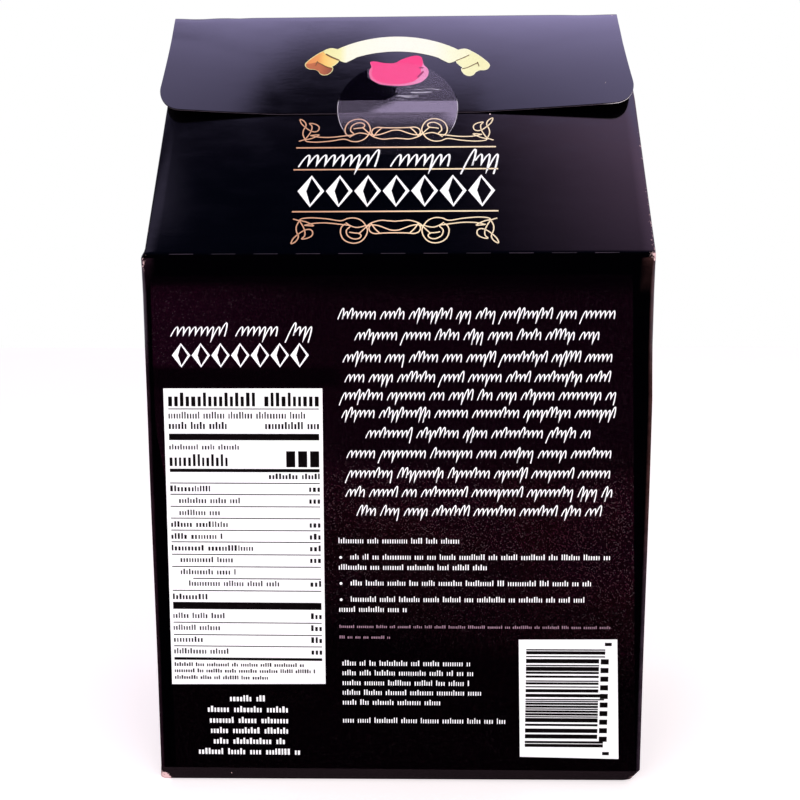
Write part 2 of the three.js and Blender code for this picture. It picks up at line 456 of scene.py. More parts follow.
bareLook = {
    "cut": ((0.085, 0.06, 0.085, 1), (0.035, 0.025, 0.035, 1)),  # the two tones of each kind of bare board; the cut edge's are darkened as painted shade
    "crease": ((0.035, 0.022, 0.035, 1), (0.012, 0.008, 0.014, 1)),
    "chip": ((0.80, 0.62, 0.62, 1), (0.55, 0.40, 0.42, 1)),
    # painted shade: the inside is darkened well below bare board to stand in for the shade under the flap
    "inside": ((0.075, 0.06, 0.07, 1), (0.05, 0.04, 0.045, 1)),
    "rightEnd": (0.88, 0.82, 0.86, 1),  # the flap's edge is worn white at its right end
    "rightFrom": (72, 80),
    "roughness": 0.75,
    "bump": (0.4, 0.0003),
}


def makeBareBoard(name, tones, rightEnd=None):
    look = bareLook
    material, tree, shader, position = newMaterial(name)
    fibre = useGroup(tree, boardFibre, {"Position": position})
    colour = blendColours(tree, fibre["Tone"], *tones)
    if rightEnd:
        across = calc(tree, "MULTIPLY", splitAxes(tree, position)[0], 1000.0)
        colour = blendColours(tree, stepBetween(tree, across, *look["rightFrom"]), colour, rightEnd)
    plug(tree, shader.inputs["Base Color"], colour)
    shader.inputs["Roughness"].default_value = look["roughness"]
    plug(tree, shader.inputs["Normal"], bumpFrom(tree, fibre["Height"], *look["bump"]))
    return material


inkLook = {
    "worn": (0.25, 0.2, 0.22, 1),
    "grain": 0.4,
    "bump": (0.08, 0.0002),
    "white": ((0.93, 0.91, 0.93), (0.88, 0.86, 0.90)),
    "dark": ((0.002, 0.001, 0.001), (0.003, 0.001, 0.002)),
    "dim": ((0.34, 0.20, 0.27), (0.25, 0.15, 0.20)),
    "shade": ((0.10, 0.045, 0.018), (0.16, 0.08, 0.03)),
    "pink": ((0.82, 0.052, 0.225), (0.78, 0.042, 0.195)),
    "tick": ((0.30, 0.03, 0.12), (0.36, 0.05, 0.16)),
    # tones that run from left to right over a print: how far along it each stands
    "span": (-36, 35),
    "gold": ((0.0, (0.58, 0.30, 0.19)), (0.45, (0.86, 0.56, 0.38)), (0.7, (0.90, 0.69, 0.46)),
             (1.0, (0.82, 0.66, 0.46))),
    "ribbon": ((0.0, (0.72, 0.66, 0.31)), (0.09, (0.78, 0.75, 0.40)), (0.13, (0.81, 0.80, 0.66)),
               (0.25, (0.82, 0.81, 0.70)), (0.5, (0.82, 0.81, 0.73)), (0.77, (0.81, 0.80, 0.71)),
               (0.87, (0.81, 0.80, 0.60)), (1.0, (0.77, 0.75, 0.50))),
    "tail": ((0.0, (0.70, 0.25, 0.085)), (0.015, (0.72, 0.30, 0.09)), (0.03, (0.80, 0.50, 0.14)),
             (0.09, (0.84, 0.68, 0.28)), (0.5, (0.80, 0.76, 0.45)), (0.9, (0.79, 0.77, 0.48)),
             (1.0, (0.76, 0.73, 0.42))),
    "turned": ((0.0, (0.45, 0.13, 0.05)), (0.02, (0.42, 0.12, 0.05)), (0.05, (0.25, 0.065, 0.03))),
    "rimSpan": (-6, 9),
    "rim": ((0.0, (0.80, 0.13, 0.30)), (1.0, (0.78, 0.25, 0.47))),
}


def makeInk(name, colourOf, roughness=(0.3, 0.42), wear=0.10, gloss=0.25):
    # ink on the board: colourOf builds the colour, and the board's fibres show through it a little
    look = inkLook
    material, tree, shader, position = newMaterial(name)
    fibre = useGroup(tree, boardFibre, {"Position": position})
    grain = useGroup(tree, inkGrain, {"Position": position, "Grain": look["grain"]})
    thin = calc(tree, "MULTIPLY", grain["Speck"], wear)
    colour = blendColours(tree, thin, colourOf(tree, grain["Cloud"]), look["worn"])
    plug(tree, shader.inputs["Base Color"], colour)
    plug(tree, shader.inputs["Roughness"], stepBetween(tree, fibre["Tone"], 0.0, 1.0, *roughness))
    shader.inputs["Specular IOR Level"].default_value = gloss
    plug(tree, shader.inputs["Normal"], bumpFrom(tree, fibre["Height"], *look["bump"]))
    return material


def cloudy(kind):
    first, second = inkLook[kind]
    return lambda tree, cloud: blendColours(tree, cloud, (*first, 1), (*second, 1))


def running(kind, span="span"):
    def build(tree, cloud):
        share = stepBetween(tree, attributeOf(tree, "across"), *inkLook[span])
        return rampOf(tree, share, inkLook[kind])
    return build


blackBoard = makeBlackBoard()
cutBoard = makeBareBoard("cutBoard", bareLook["cut"], bareLook["rightEnd"])
creaseBoard = makeBareBoard("creaseBoard", bareLook["crease"])
chippedBoard = makeBareBoard("chippedBoard", bareLook["chip"])
insideBoard = makeBareBoard("insideBoard", bareLook["inside"])
whiteInk = makeInk("whiteInk", cloudy("white"))
darkInk = makeInk("darkInk", cloudy("dark"), roughness=(0.5, 0.6), wear=0.02, gloss=0.12)
goldInk = makeInk("goldInk", running("gold"))
ribbonInk = makeInk("ribbonInk", running("ribbon"))
tailInk = makeInk("tailInk", running("tail"))
turnedInk = makeInk("turnedInk", running("turned"))
shadeInk = makeInk("shadeInk", cloudy("shade"))
pinkInk = makeInk("pinkInk", cloudy("pink"))
palePinkInk = makeInk("palePinkInk", running("rim", "rimSpan"))
tickInk = makeInk("tickInk", cloudy("tick"))
dimInk = makeInk("dimInk", cloudy("dim"))
print("materials ready")


def finishPiece(mesh, name, materials, node=None, sharpFrom=32):
    bmesh.ops.recalc_face_normals(mesh, faces=mesh.faces)
    for face in mesh.faces:
        face.smooth = True
    for edge in mesh.edges:
        if len(edge.link_faces) == 2 and edge.calc_face_angle(0) > math.radians(sharpFrom):
            edge.smooth = False
    data = bpy.data.meshes.new(name)
    mesh.to_mesh(data)
    mesh.free()
    for material in materials:
        data.materials.append(material)
    piece = bpy.data.objects.new(name, data)
    bpy.context.scene.collection.objects.link(piece)
    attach(piece, "root")
    if node:
        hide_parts(node)
    print(name, len(data.polygons), "faces")
    return piece


def lineOf(start, end, steps):
    return [(mix(start[0], end[0], i / steps), mix(start[1], end[1], i / steps)) for i in range(steps + 1)]


def arcOf(centre, radius, first, last, steps):
    turns = [math.radians(mix(first, last, i / steps)) for i in range(steps + 1)]
    return [(centre[0] + radius * math.cos(t), centre[1] + radius * math.sin(t)) for t in turns]


# the shell is one closed skin: walls, roof slopes and the gussets folded in under both ends of the roof
def shellEnd(end, lean, front, inner, corner, edge):
    # half of one end's outline, from the front face round the corner and in along the gusset
    points = arcOf((end - corner, corner - front), corner, -90, 0, 5)
    points += arcOf((end - edge, -inner - edge), edge, 0, 90, 4)
    points += lineOf((end - edge, -inner), (lean, -inner), 8)[1:]
    points += lineOf((lean, -inner), (lean, 0), 7)[1:]
    return points


def shellRing(height):
    form = carton
    inset = baseInsetAt(height)
    front = halfDepth - inset - foldInset(height, frontAngle, form["panelFold"])
    back = halfDepth - inset - foldInset(height, backAngle, form["panelFold"])
    sharper = smoothStep(*aroundEave("cornerSharpens"), height)
    corner = mix(form["cornerRadius"] + inset * form["cornerGrow"], form["wingEdgeRadius"], sharper)
    mouth = gussetMouth * (1 - max(0, height - eave) / (gussetPeak - eave))
    inner = min(mouth, min(front, back) - corner - form["clearance"])
    columns = form["panelColumns"]
    ring = []
    for side in (1, -1):
        face, far = (front, back) if side > 0 else (back, front)
        place = wallEnd(side, height)
        other = wallEnd(-side, height)
        lean = place - foldInset(height, gussetAngle, form["sideFold"])
        for x in [mix(-other + corner, place - corner, i / columns) for i in range(1, columns)]:
            ring.append((x * side, (-face - bulgeAt(x, form["width"], height)) * side))
        edge = form["wingEdgeRadius"] * smoothStep(eave, eave + 4, height)
        edge = min(edge, (place - min(place, lean)) * 0.8)
        near = shellEnd(place, min(lean, place), face, inner, corner, edge)
        away = shellEnd(place, min(lean, place), far, inner, corner, edge)[::-1]
        for x, y in near + [(x, -y) for x, y in away[1:]]:
            swell = bulgeAt(y, form["depth"], height) if x >= place - 0.001 else 0
            ring.append(((x + swell) * side, y * side))
    return [(x, y - easeAt(x, height) if y < 0 else y) for x, y in ring]


def makeShell():
    form = carton
    heights = [form["baseFlap"], form["baseEdgeHeight"], 2.4, 3.9, form["stripHeight"]]
    heights += [mix(form["stripHeight"], eave - 4, i / 20) for i in range(1, 21)]
    heights += [eave + step for step in (-2.5, -1.2, -0.6, 0, 0.5, 1.0, 1.6, 2.6, 4)]
    heights += [mix(eave + 4, form["shellTop"], i / 24) for i in range(1, 25)]
    mesh = bmesh.new()
    rings = [[mesh.verts.new(placed(x, y, height)) for x, y in shellRing(height)] for height in heights]
    for lower, upper in zip(rings, rings[1:]):
        for i in range(len(lower)):
            j = (i + 1) % len(lower)
            mesh.faces.new((lower[i], lower[j], upper[j], upper[i]))
    mesh.faces.new(rings[0][::-1])
    mesh.faces.new(rings[-1])
    bmesh.ops.remove_doubles(mesh, verts=mesh.verts, dist=0.002 * mm)
    addRub(mesh)
    return finishPiece(mesh, "boardShell", [blackBoard], node="carton", sharpFrom=24)


rub = {
    "baseCorner": 0.64,
    "baseReach": (2, 7),
    "rightEave": 0.5,
    "eaveReach": (0, 5),
    "wingEdge": 0.38,
    "wingFrom": 6,  # the roof's end edges are worn from this far below the eave
    "endReach": (0.1, 0.9),  # how far in from the ends and from the faces the wear reaches
    "faceReach": (0, 1.2),
    "fold": (0.95, 0.45),  # how far round the corners, in shares of their radius, the painted highlight reaches
}


def addRub(mesh):
    # how far the print has rubbed off: most at the base's corners and along the roof's end edges
    layer = mesh.verts.layers.float.new("rub")
    shine = mesh.verts.layers.float.new("shine")
    fold = mesh.verts.layers.float.new("fold")
    radius = carton["cornerRadius"]
    for vertex in mesh.verts:
        vertex[shine] = 1
        x, y, z = (value / mm for value in vertex.co)
        corner = math.hypot(halfWidth - abs(x), halfDepth - abs(y), z * 1.2)
        amount = rub["baseCorner"] * (1 - smoothStep(*rub["baseReach"], corner))
        onEdge = 1 - smoothStep(*rub["endReach"], halfWidth - abs(x))
        outer = 1 - smoothStep(*rub["faceReach"], abs(halfDepth - foldInset(z, frontAngle, 1) - abs(y)))
        if z > eave - rub["wingFrom"]:
            amount = max(amount, rub["wingEdge"] * onEdge * outer)
        # the fold layer marks where the corners' painted highlight lies
        if carton["stripHeight"] - 0.1 < z < eave - 1 and abs(y) > halfDepth - radius - 0.02:
            inward = (wallEnd(1 if x > 0 else -1, z) - abs(x)) / radius
            vertex[fold] = smoothStep(*rub["fold"], inward)
        toEave = math.hypot(x - halfWidth, abs(y) - halfDepth, z - eave)
        nearEave = 1 - smoothStep(*rub["eaveReach"], toEave)
        vertex[layer] = max(amount, rub["rightEave"] * nearEave)


makeShell()

baseFlaps = {"edge": 3.6, "seam": 0.5, "cut": 9, "gap": 0.02}


def makeBaseFlaps():
    # two flaps that close the base, meeting in a seam down the middle
    form = baseFlaps
    mesh = bmesh.new()
    x = halfWidth - form["edge"]
    y = halfDepth - form["edge"]
    levels = (0, carton["baseFlap"] - form["gap"])
    for side in (1, -1):
        outline = [(-x, y), (-x + form["cut"], form["seam"]), (x - form["cut"], form["seam"]), (x, y)]
        rings = [[mesh.verts.new(placed(u, v * side, z)) for u, v in outline] for z in levels]
        mesh.faces.new(rings[0])
        mesh.faces.new(rings[1])
        for i in range(4):
            j = (i + 1) % 4
            mesh.faces.new((rings[0][i], rings[0][j], rings[1][j], rings[1][i]))
    addRub(mesh)
    return finishPiece(mesh, "baseFlaps", [blackBoard])


makeBaseFlaps()

flap = {
    "length": (48.6, 47.5),
    "corner": (8.5, 11.5),  # how far the rounded corners reach along the edge and up the sides
    "atRidge": (-88.0, 83.6),
    "atEdge": (-88.6, 86.2),
    "lift": (3.8, 4.8),
    "pressed": (38, 22),  # how far to the left and right it lies flat on the slope
    "embed": 0.25,
    "gap": 0.04,
    "thickness": 0.66,
    "columns": 84,
    "rows": 26,
    "bendSteps": 10,
    "root": (7, 4, 2, 0.8),  # how far down the back slope the sheet is rooted, sunk just under its face
    "rootNarrow": 2.0,
    "dents": ((-79, 5, 0.45), (-63, 3, 0.2), (71, 7, 0.25)),  # across, half width, depth
    # painted highlight: the specular strength is raised where the sheet is drawn over the ridge: the plain
    # shine, the extra at a place near the ridge, over what distance that falls off, and how far below the
    # ridge the place is
    "shine": (0.65, 2.6, 16, 3),
    "ridgeRub": 0.34,
    "rubAcross": (70, 84),
    "rubBelow": (6, 1),  # the ridge's ends are worn from this far below its top
    "tip": 0.16,  # how far the cut edge rounds out
}


def liftAt(across, down):
    side = 0 if across < 0 else 1
    pressed = flap["pressed"][side]
    free = max(0, abs(across) - pressed) / (halfWidth - pressed)
    return flap["lift"][side] * free ** 1.25 * (max(0, down) / flap["length"][0]) ** 1.8


def flapInner(across, down):
    return max(liftAt(across, down) - flap["embed"], flap["gap"])


def flapEndAt(share):
    width = flap["atEdge"][1] - flap["atEdge"][0]
    wide, tall = flap["corner"]
    short = max(0, 1 - min(share, 1 - share) * width / wide)
    return mix(*flap["length"], share) - tall * (1 - math.sqrt(1 - short ** 2))


def flapAcross(share, down):
    along = down / flap["length"][0]
    left = mix(flap["atRidge"][0], flap["atEdge"][0], along)
    right = mix(flap["atRidge"][1], flap["atEdge"][1], along)
    return mix(left, right, share)


def flapShareAt(across, down):
    left = flapAcross(0, down)
    return (across - left) / (flapAcross(1, down) - left)


def flapPlace(across, up, out):
    return slopePlace(across, up, flapInner(across, -up) + flap["thickness"] + out)


def ridgeDent(across):
    return sum(depth * math.exp(-((across - at) / half) ** 2) for at, half, depth in flap["dents"])


def flapSection(share):
    # one slice of the sheet: up the back slope, over the ridge, down the front and back along its inner face
    form = flap
    end = flapEndAt(share)
    across = flapAcross(share, 0)
    outer, inner = [], []
    for down in form["root"]:
        narrow = 1 - form["rootNarrow"] / halfWidth * smoothStep(0, form["root"][0], down)
        outer.append(backSlopePlace(-across * narrow, -down, -0.02))
        inner.append(backSlopePlace(-across * narrow, -down, -form["thickness"]))
    for step in range(form["bendSteps"], 0, -1):
        turn = step / form["bendSteps"]
        sink = ridgeDent(across) * math.sin(math.pi * turn)
        outer.append(bendPlace(across, turn, carton["thickness"] - sink))
        inner.append(bendPlace(across, turn, form["gap"] - sink * 0.5))
    for row in range(form["rows"] + 1):
        down = end * row / form["rows"]
        at = flapAcross(share, down)
        under = flapInner(at, down)
        easing = carton["thickness"] - form["thickness"] - form["gap"]
        outer.append(slopePlace(at, -down, under + form["thickness"] + easing * (1 - smoothStep(0, 6, down))))
        inner.append(slopePlace(at, -down, under))
    at = flapAcross(share, end)
    under = flapInner(at, end)
    tip = [slopePlace(at, -end - form["tip"], under + form["thickness"] * t) for t in (0.75, 0.25)]
    return outer, tip, inner[::-1]


def makeFlap():
    mesh = bmesh.new()
    slices = []
    for column in range(flap["columns"] + 1):
        share = (1 - math.cos(math.pi * column / flap["columns"])) / 2
        outer, tip, inner = flapSection(share)
        slices.append([mesh.verts.new(point) for point in outer + tip + inner])
    face, edge = len(outer) - 1, len(outer) + len(tip) - 1
    for left, right in zip(slices, slices[1:]):
        for i in range(len(left)):
            j = (i + 1) % len(left)
            quad = mesh.faces.new((left[i], right[i], right[j], left[j]))
            quad.material_index = 2 if i > edge else 1 if i == face + 1 else 0
    for points in (slices[0], slices[-1]):
        count = len(outer)
        near, far = points[:count + 1], points[:count:-1]
        for i in range(count):
            side = mesh.faces.new((near[i], near[i + 1], far[i + 1], far[i]))
            side.material_index = 1 if i > len(flap["root"]) else 0
    rubLayer = mesh.verts.layers.float.new("rub")
    shineLayer = mesh.verts.layers.float.new("shine")
    plain, extra, reach, below = flap["shine"]
    low, high = (ridgeTop - step for step in flap["rubBelow"])
    for vertex in mesh.verts:
        across, height = vertex.co.x / mm, vertex.co.z / mm
        # painted highlight: more specular strength near the ridge
        away = (height - ridgeTop + below) / math.sin(frontAngle)
        vertex[shineLayer] = plain + extra * math.exp(away / reach)
        atEnd = smoothStep(*flap["rubAcross"], abs(across))
        vertex[rubLayer] = flap["ridgeRub"] * atEnd * smoothStep(low, high, height)
    return finishPiece(mesh, "closingFlap", [blackBoard, cutBoard, insideBoard], node="carton", sharpFrom=40)


makeFlap()

seal = {
    "radius": 22.1,
    "centre": (-0.65, 45.8),
    "film": 0.08,
    "gap": 0.05,
    "flapEdge": 48,  # about how far down the flap's edge runs under it
    "bridge": (0.3, 2.0),  # where the film leaves the flap's edge and where it meets the slope
    "rings": 44,
    "sectors": 128,
    "rim": 0.24,
    # painted highlight: the rim is drawn pale where it catches the light
    "edgeColour": (0.86, 0.80, 0.92, 1),
    "edgeAlpha": 0.45,
    "edgeSpan": (41.5, 44.0, 53.0, 60.0),  # the rim's painted highlight shows between these places down the slope
}


def sealOut(across, down):
    end = flapEndAt(flapShareAt(across, seal["flapEdge"]))
    onFlap = flapInner(across, min(down, end)) + flap["thickness"]
    start, foot = (end + step for step in seal["bridge"])
    return mix(onFlap, 0, smoothStep(start, foot, down)) + seal["gap"]


filmLook = {
    # the film's faint haziness, and the painted reflection of its pale band
    "haze": (0.51, 0.42, 0.65, 1),
    # painted reflection: dark where the film mirrors something dark over its upper left
    "dark": (0.0012, 0.0006, 0.003, 1),
    # painted highlights: pale streaks standing in for the film's reflections
    "streak": (0.85, 0.80, 0.95, 1),
    "streakShare": 0.3,
    "streakAcross": (0.0, 14.0, 2.0),  # from, to, softness
    "streakDown": (36.5, 42.0, 0.8),
    "wander": (35.5, 38.0, 0.3, 6.0),  # how far edges stray sideways, between these places down the slope
    "clear": 0.045,
    "bandTop": 42.9,
    "bandFoot": 48.3,
    "bandShare": (-9.6, -2.4, 0.010, 0.22),  # from across, to across, faintest, strongest
    "bandSlant": (45.5, 1.6),
    "lowShare": (48.0, 57.0, 0.10, 0.004),
    "lowRight": (14.0, 21.0, 0.0, 0.16),
    "lowRightFade": (57.0, 50.0),
    # the dark reflection's right edge is the sum of these steps: from, to, place there and there
    "wedgeLimits": ((30.5, 36.3, -12.0, -6.5), (34.7, 36.4, 0.0, 5.6), (39.5, 43.0, 0.0, -4.5)),
    "wedgeFoot": 42.6,
    "wedgeShare": 0.75,
    "edge": (0.3, 0.2),  # how soft the dark reflection's edges and the band's are
    "roughness": (0.05, 0.09),
    "gloss": 0.12,
}


def wanderOver(tree, position, down):
    look = filmLook
    streak = noiseAt(tree, stretched(tree, position, (120, 420, 420)), 1.0, detail=3.0, roughness=0.55)
    return streak, calc(tree, "MULTIPLY", calc(tree, "SUBTRACT", streak, 0.5),
                        stepBetween(tree, down, *look["wander"]))


def filmHazeAndSheen(tree, across, down, crooked, wavy):
    # a pale band across the flap's edge, a painted reflection where the film bends over it, and a fainter
    # haziness below it that gathers at the lower right
    look = filmLook
    soft = look["edge"][1]
    lower, upper = look["bandFoot"], look["bandTop"]
    band = calc(tree, "MULTIPLY", stepBetween(tree, wavy, upper - 0.3, upper + 0.4),
                stepBetween(tree, down, lower + soft, lower - soft))
    middle, lean = look["bandSlant"]
    slanted = calc(tree, "MULTIPLY", calc(tree, "SUBTRACT", down, middle), lean)
    slanted = calc(tree, "ADD", crooked, slanted)
    band = calc(tree, "MULTIPLY", band, stepBetween(tree, slanted, *look["bandShare"]))
    corner = calc(tree, "MULTIPLY", stepBetween(tree, across, *look["lowRight"]),
                  stepBetween(tree, down, *look["lowRightFade"]))
    below = calc(tree, "ADD", stepBetween(tree, wavy, *look["lowShare"]), corner)
    below = calc(tree, "MULTIPLY", below, stepBetween(tree, down, lower - soft, lower + soft))
    clear = stepBetween(tree, down, lower + soft, lower - soft, 0.0, look["clear"])
    return calc(tree, "ADD", calc(tree, "ADD", band, below), clear)


# the painted dark reflection, broken up by noise
def filmWedge(tree, position, down, crooked, wavy):
    look = filmLook
    soft = look["edge"][0]
    limit = 0.0
    for step in look["wedgeLimits"]:
        limit = calc(tree, "ADD", limit, stepBetween(tree, down, *step))
    wedge = calc(tree, "MULTIPLY", stepBetween(tree, calc(tree, "SUBTRACT", crooked, limit), soft, -soft),
                 stepBetween(tree, wavy, look["wedgeFoot"] + soft, look["wedgeFoot"] - soft))
    patchy = noiseAt(tree, position, 700.0, detail=3.0, roughness=0.7)
    worn = stepBetween(tree, patchy, 0.35, 0.5, 0.7, 1.0)
    return calc(tree, "MULTIPLY", wedge, calc(tree, "MULTIPLY", worn, look["wedgeShare"]))


# painted highlights in the film
def filmGlints(tree, position, across, down):
    look = filmLook
    glint = noiseAt(tree, stretched(tree, position, (110, 1300, 1300)), 1.0, detail=2.0)
    glint = calc(tree, "MULTIPLY", stepBetween(tree, glint, 0.57, 0.66),
                  windowAlong(tree, across, *look["streakAcross"]))
    return calc(tree, "MULTIPLY", glint, windowAlong(tree, down, *look["streakDown"]))


def makeFilm():
    # clear film with faint haziness and painted reflections: a pale band over the flap's edge, a dark
    # reflection over its upper left and a few bright streaks
    look = filmLook
    material, tree, shader, position = newMaterial("clearFilm")
    across = attributeOf(tree, "across")
    down = attributeOf(tree, "down")
    streak, wander = wanderOver(tree, position, down)
    crooked = calc(tree, "ADD", across, wander)
    wavy = calc(tree, "ADD", down, calc(tree, "MULTIPLY", wander, 0.12))
    wedge = filmWedge(tree, position, down, crooked, wavy)
    glint = filmGlints(tree, position, across, down)
    hazeAndSheenAlpha = calc(tree, "ADD", filmHazeAndSheen(tree, across, down, crooked, wavy),
                calc(tree, "MULTIPLY", glint, look["streakShare"]))
    colour = blendColours(tree, glint, look["haze"], look["streak"])
    colour = blendColours(tree, stepBetween(tree, wedge, 0.05, 0.5), colour, look["dark"])
    plug(tree, shader.inputs["Base Color"], colour)
    plug(tree, shader.inputs["Alpha"], calc(tree, "MAXIMUM", hazeAndSheenAlpha, wedge, clamp=True))
    plug(tree, shader.inputs["Roughness"], stepBetween(tree, streak, 0.3, 0.7, *look["roughness"]))
    shader.inputs["Specular IOR Level"].default_value = look["gloss"]
    return material


def makeFilmEdge():
    material, tree, shader, position = newMaterial("filmEdge")
    fibre = useGroup(tree, boardFibre, {"Position": position})
    first, full, last, gone = seal["edgeSpan"]
    down = attributeOf(tree, "down")
    shown = calc(tree, "MULTIPLY", stepBetween(tree, down, first, full), stepBetween(tree, down, gone, last))
    shown = calc(tree, "MULTIPLY", shown, stepBetween(tree, fibre["Tone"], 0.0, 1.0, 0.5, 1.0))
    plug(tree, shader.inputs["Alpha"], calc(tree, "MULTIPLY", shown, seal["edgeAlpha"]))
    shader.inputs["Base Color"].default_value = seal["edgeColour"]
    shader.inputs["Roughness"].default_value = 0.2
    return material


def makeSeal():
    form = seal
    mesh = bmesh.new()
    acrossLayer = mesh.verts.layers.float.new("across")
    downLayer = mesh.verts.layers.float.new("down")

    def filmVertex(radius, turn, out):
        across = form["centre"][0] + radius * math.cos(turn)
        down = form["centre"][1] + radius * math.sin(turn)
        vertex = mesh.verts.new(slopePlace(across, -down, sealOut(across, down) + out))
        vertex[acrossLayer] = across
        vertex[downLayer] = down
        return vertex

    radii = [(form["radius"] - form["rim"]) * i / form["rings"] for i in range(1, form["rings"] + 1)]
    radii.append(form["radius"])
    turns = [2 * math.pi * i / form["sectors"] for i in range(form["sectors"])]
    layers = []
    for out in (form["film"], 0):
        centre = filmVertex(0, 0, out)
        rings = [[filmVertex(radius, turn, out) for turn in turns] for radius in radii]
        for i in range(len(turns)):
            j = (i + 1) % len(turns)
            mesh.faces.new((centre, rings[0][i], rings[0][j]))
            for near, far in zip(rings, rings[1:]):
                quad = mesh.faces.new((near[i], far[i], far[j], near[j]))
                quad.material_index = 1 if far is rings[-1] else 0
        layers.append(rings[-1])
    for i in range(len(turns)):
        j = (i + 1) % len(turns)
        mesh.faces.new((layers[0][i], layers[0][j], layers[1][j], layers[1][i])).material_index = 1
    return finishPiece(mesh, "roundSeal", [makeFilm(), makeFilmEdge()],
                       node="closure_seal", sharpFrom=60)


makeSeal()

# the print is thin closed layers of ink that follow the panel under them
ink = {"under": 0.02, "over": 0.03, "stagger": 0.003, "onLabel": 0.05}
inkTurn = itertools.count(1)


def newPrint():
    mesh = bmesh.new()
    mesh.verts.layers.float.new("across")
    return mesh


def inkHeight():  # neighbouring strokes lie at slightly different heights, so that none share a face
    return ink["over"] + ink["stagger"] * (next(inkTurn) % 7)


def inkVertex(mesh, place, across, up, out):
    vertex = mesh.verts.new(place(across, up, out))
    vertex[mesh.verts.layers.float["across"]] = across
    return vertex


def inkShape(mesh, outline, place, lift=0.0):
    over = inkHeight() + lift
    top = [inkVertex(mesh, place, u, v, over) for u, v in outline]
    foot = [inkVertex(mesh, place, u, v, lift - ink["under"]) for u, v in outline]
    mesh.faces.new(top)
    mesh.faces.new(foot[::-1])
    for i in range(len(outline)):
        j = (i + 1) % len(outline)
        mesh.faces.new((top[i], foot[i], foot[j], top[j]))


def inkStroke(mesh, path, width, place, lift=0.0, roundEnds=True, nib=None):
    # nib is the angle of a broad pen, which makes strokes along it thin and strokes across it thick
    over = inkHeight() + lift
    ends = 3 if roundEnds else 0
    rows = []
    last = len(path) - 1
    for i in range(-ends, last + 1 + ends):
        at = min(max(i, 0), last)
        before, after = path[max(at - 1, 0)], path[min(at + 1, last)]
        du, dv = after[0] - before[0], after[1] - before[1]
        length = math.hypot(du, dv) or 1
        weight = 1 if nib is None else 0.4 + 0.6 * abs(math.sin(math.atan2(dv, du) - math.radians(nib)))
        du, dv = du / length * width / 2 * weight, dv / length * width / 2 * weight
        beyond = (i - at) / (ends + 0.25) if ends else 0
        half = math.sqrt(1 - beyond ** 2)
        u, v = path[at][0] + du * beyond, path[at][1] + dv * beyond
        corners = ((1, over), (-1, over), (-1, lift - ink["under"]), (1, lift - ink["under"]))
        rows.append([inkVertex(mesh, place, u - dv * half * side, v + du * half * side, out)
                     for side, out in corners])
    for near, far in zip(rows, rows[1:]):
        for i in range(4):
            j = (i + 1) % 4
            mesh.faces.new((near[i], near[j], far[j], far[i]))
    mesh.faces.new(rows[0][::-1])
    mesh.faces.new(rows[-1])


def inkPanel(mesh, corners, place, steps=12, lift=0.0):
    # a field of ink between four corners, gridded so that it follows the panel's swell
    over = inkHeight() + lift
    topLeft, topRight, lowRight, lowLeft = corners

    def corner(i, j, out):
        left = [mix(top, low, j / steps) for top, low in zip(topLeft, lowLeft)]
        right = [mix(top, low, j / steps) for top, low in zip(topRight, lowRight)]
        return inkVertex(mesh, place, *(mix(first, last, i / steps) for first, last in zip(left, right)), out)

    span = range(steps + 1)
    top, foot = ([[corner(i, j, out) for i in span] for j in span] for out in (over, lift - ink["under"]))
    for sheet in (top, foot):
        for j in range(steps):
            for i in range(steps):
                mesh.faces.new((sheet[j][i], sheet[j][i + 1], sheet[j + 1][i + 1], sheet[j + 1][i]))
    for i in range(steps):
        for edge in (0, -1):
            mesh.faces.new((top[edge][i], top[edge][i + 1], foot[edge][i + 1], foot[edge][i]))
            mesh.faces.new((top[i][edge], top[i + 1][edge], foot[i + 1][edge], foot[i][edge]))


def bar(left, right, low, high):
    return [(left, high), (right, high), (right, low), (left, low)]


def curveThrough(points, steps=6):  # a smooth curve through a few points
    path = []
    ends = [points[0]] + list(points) + [points[-1]]
    for i in range(1, len(ends) - 2):
        a, b, c, d = ends[i - 1:i + 3]
        for step in range(steps):
            t = step / steps
            path.append(tuple(
                0.5 * (2 * b[k] + (c[k] - a[k]) * t + (2 * a[k] - 5 * b[k] + 4 * c[k] - d[k]) * t ** 2
                       + (3 * b[k] - a[k] - 3 * c[k] + d[k]) * t ** 3) for k in (0, 1)))
    return path + [tuple(points[-1])]


def moved(place, across, up, size, tall=1.0):
    return lambda u, v, out: place(across + u * size, up + v * size * tall, out)


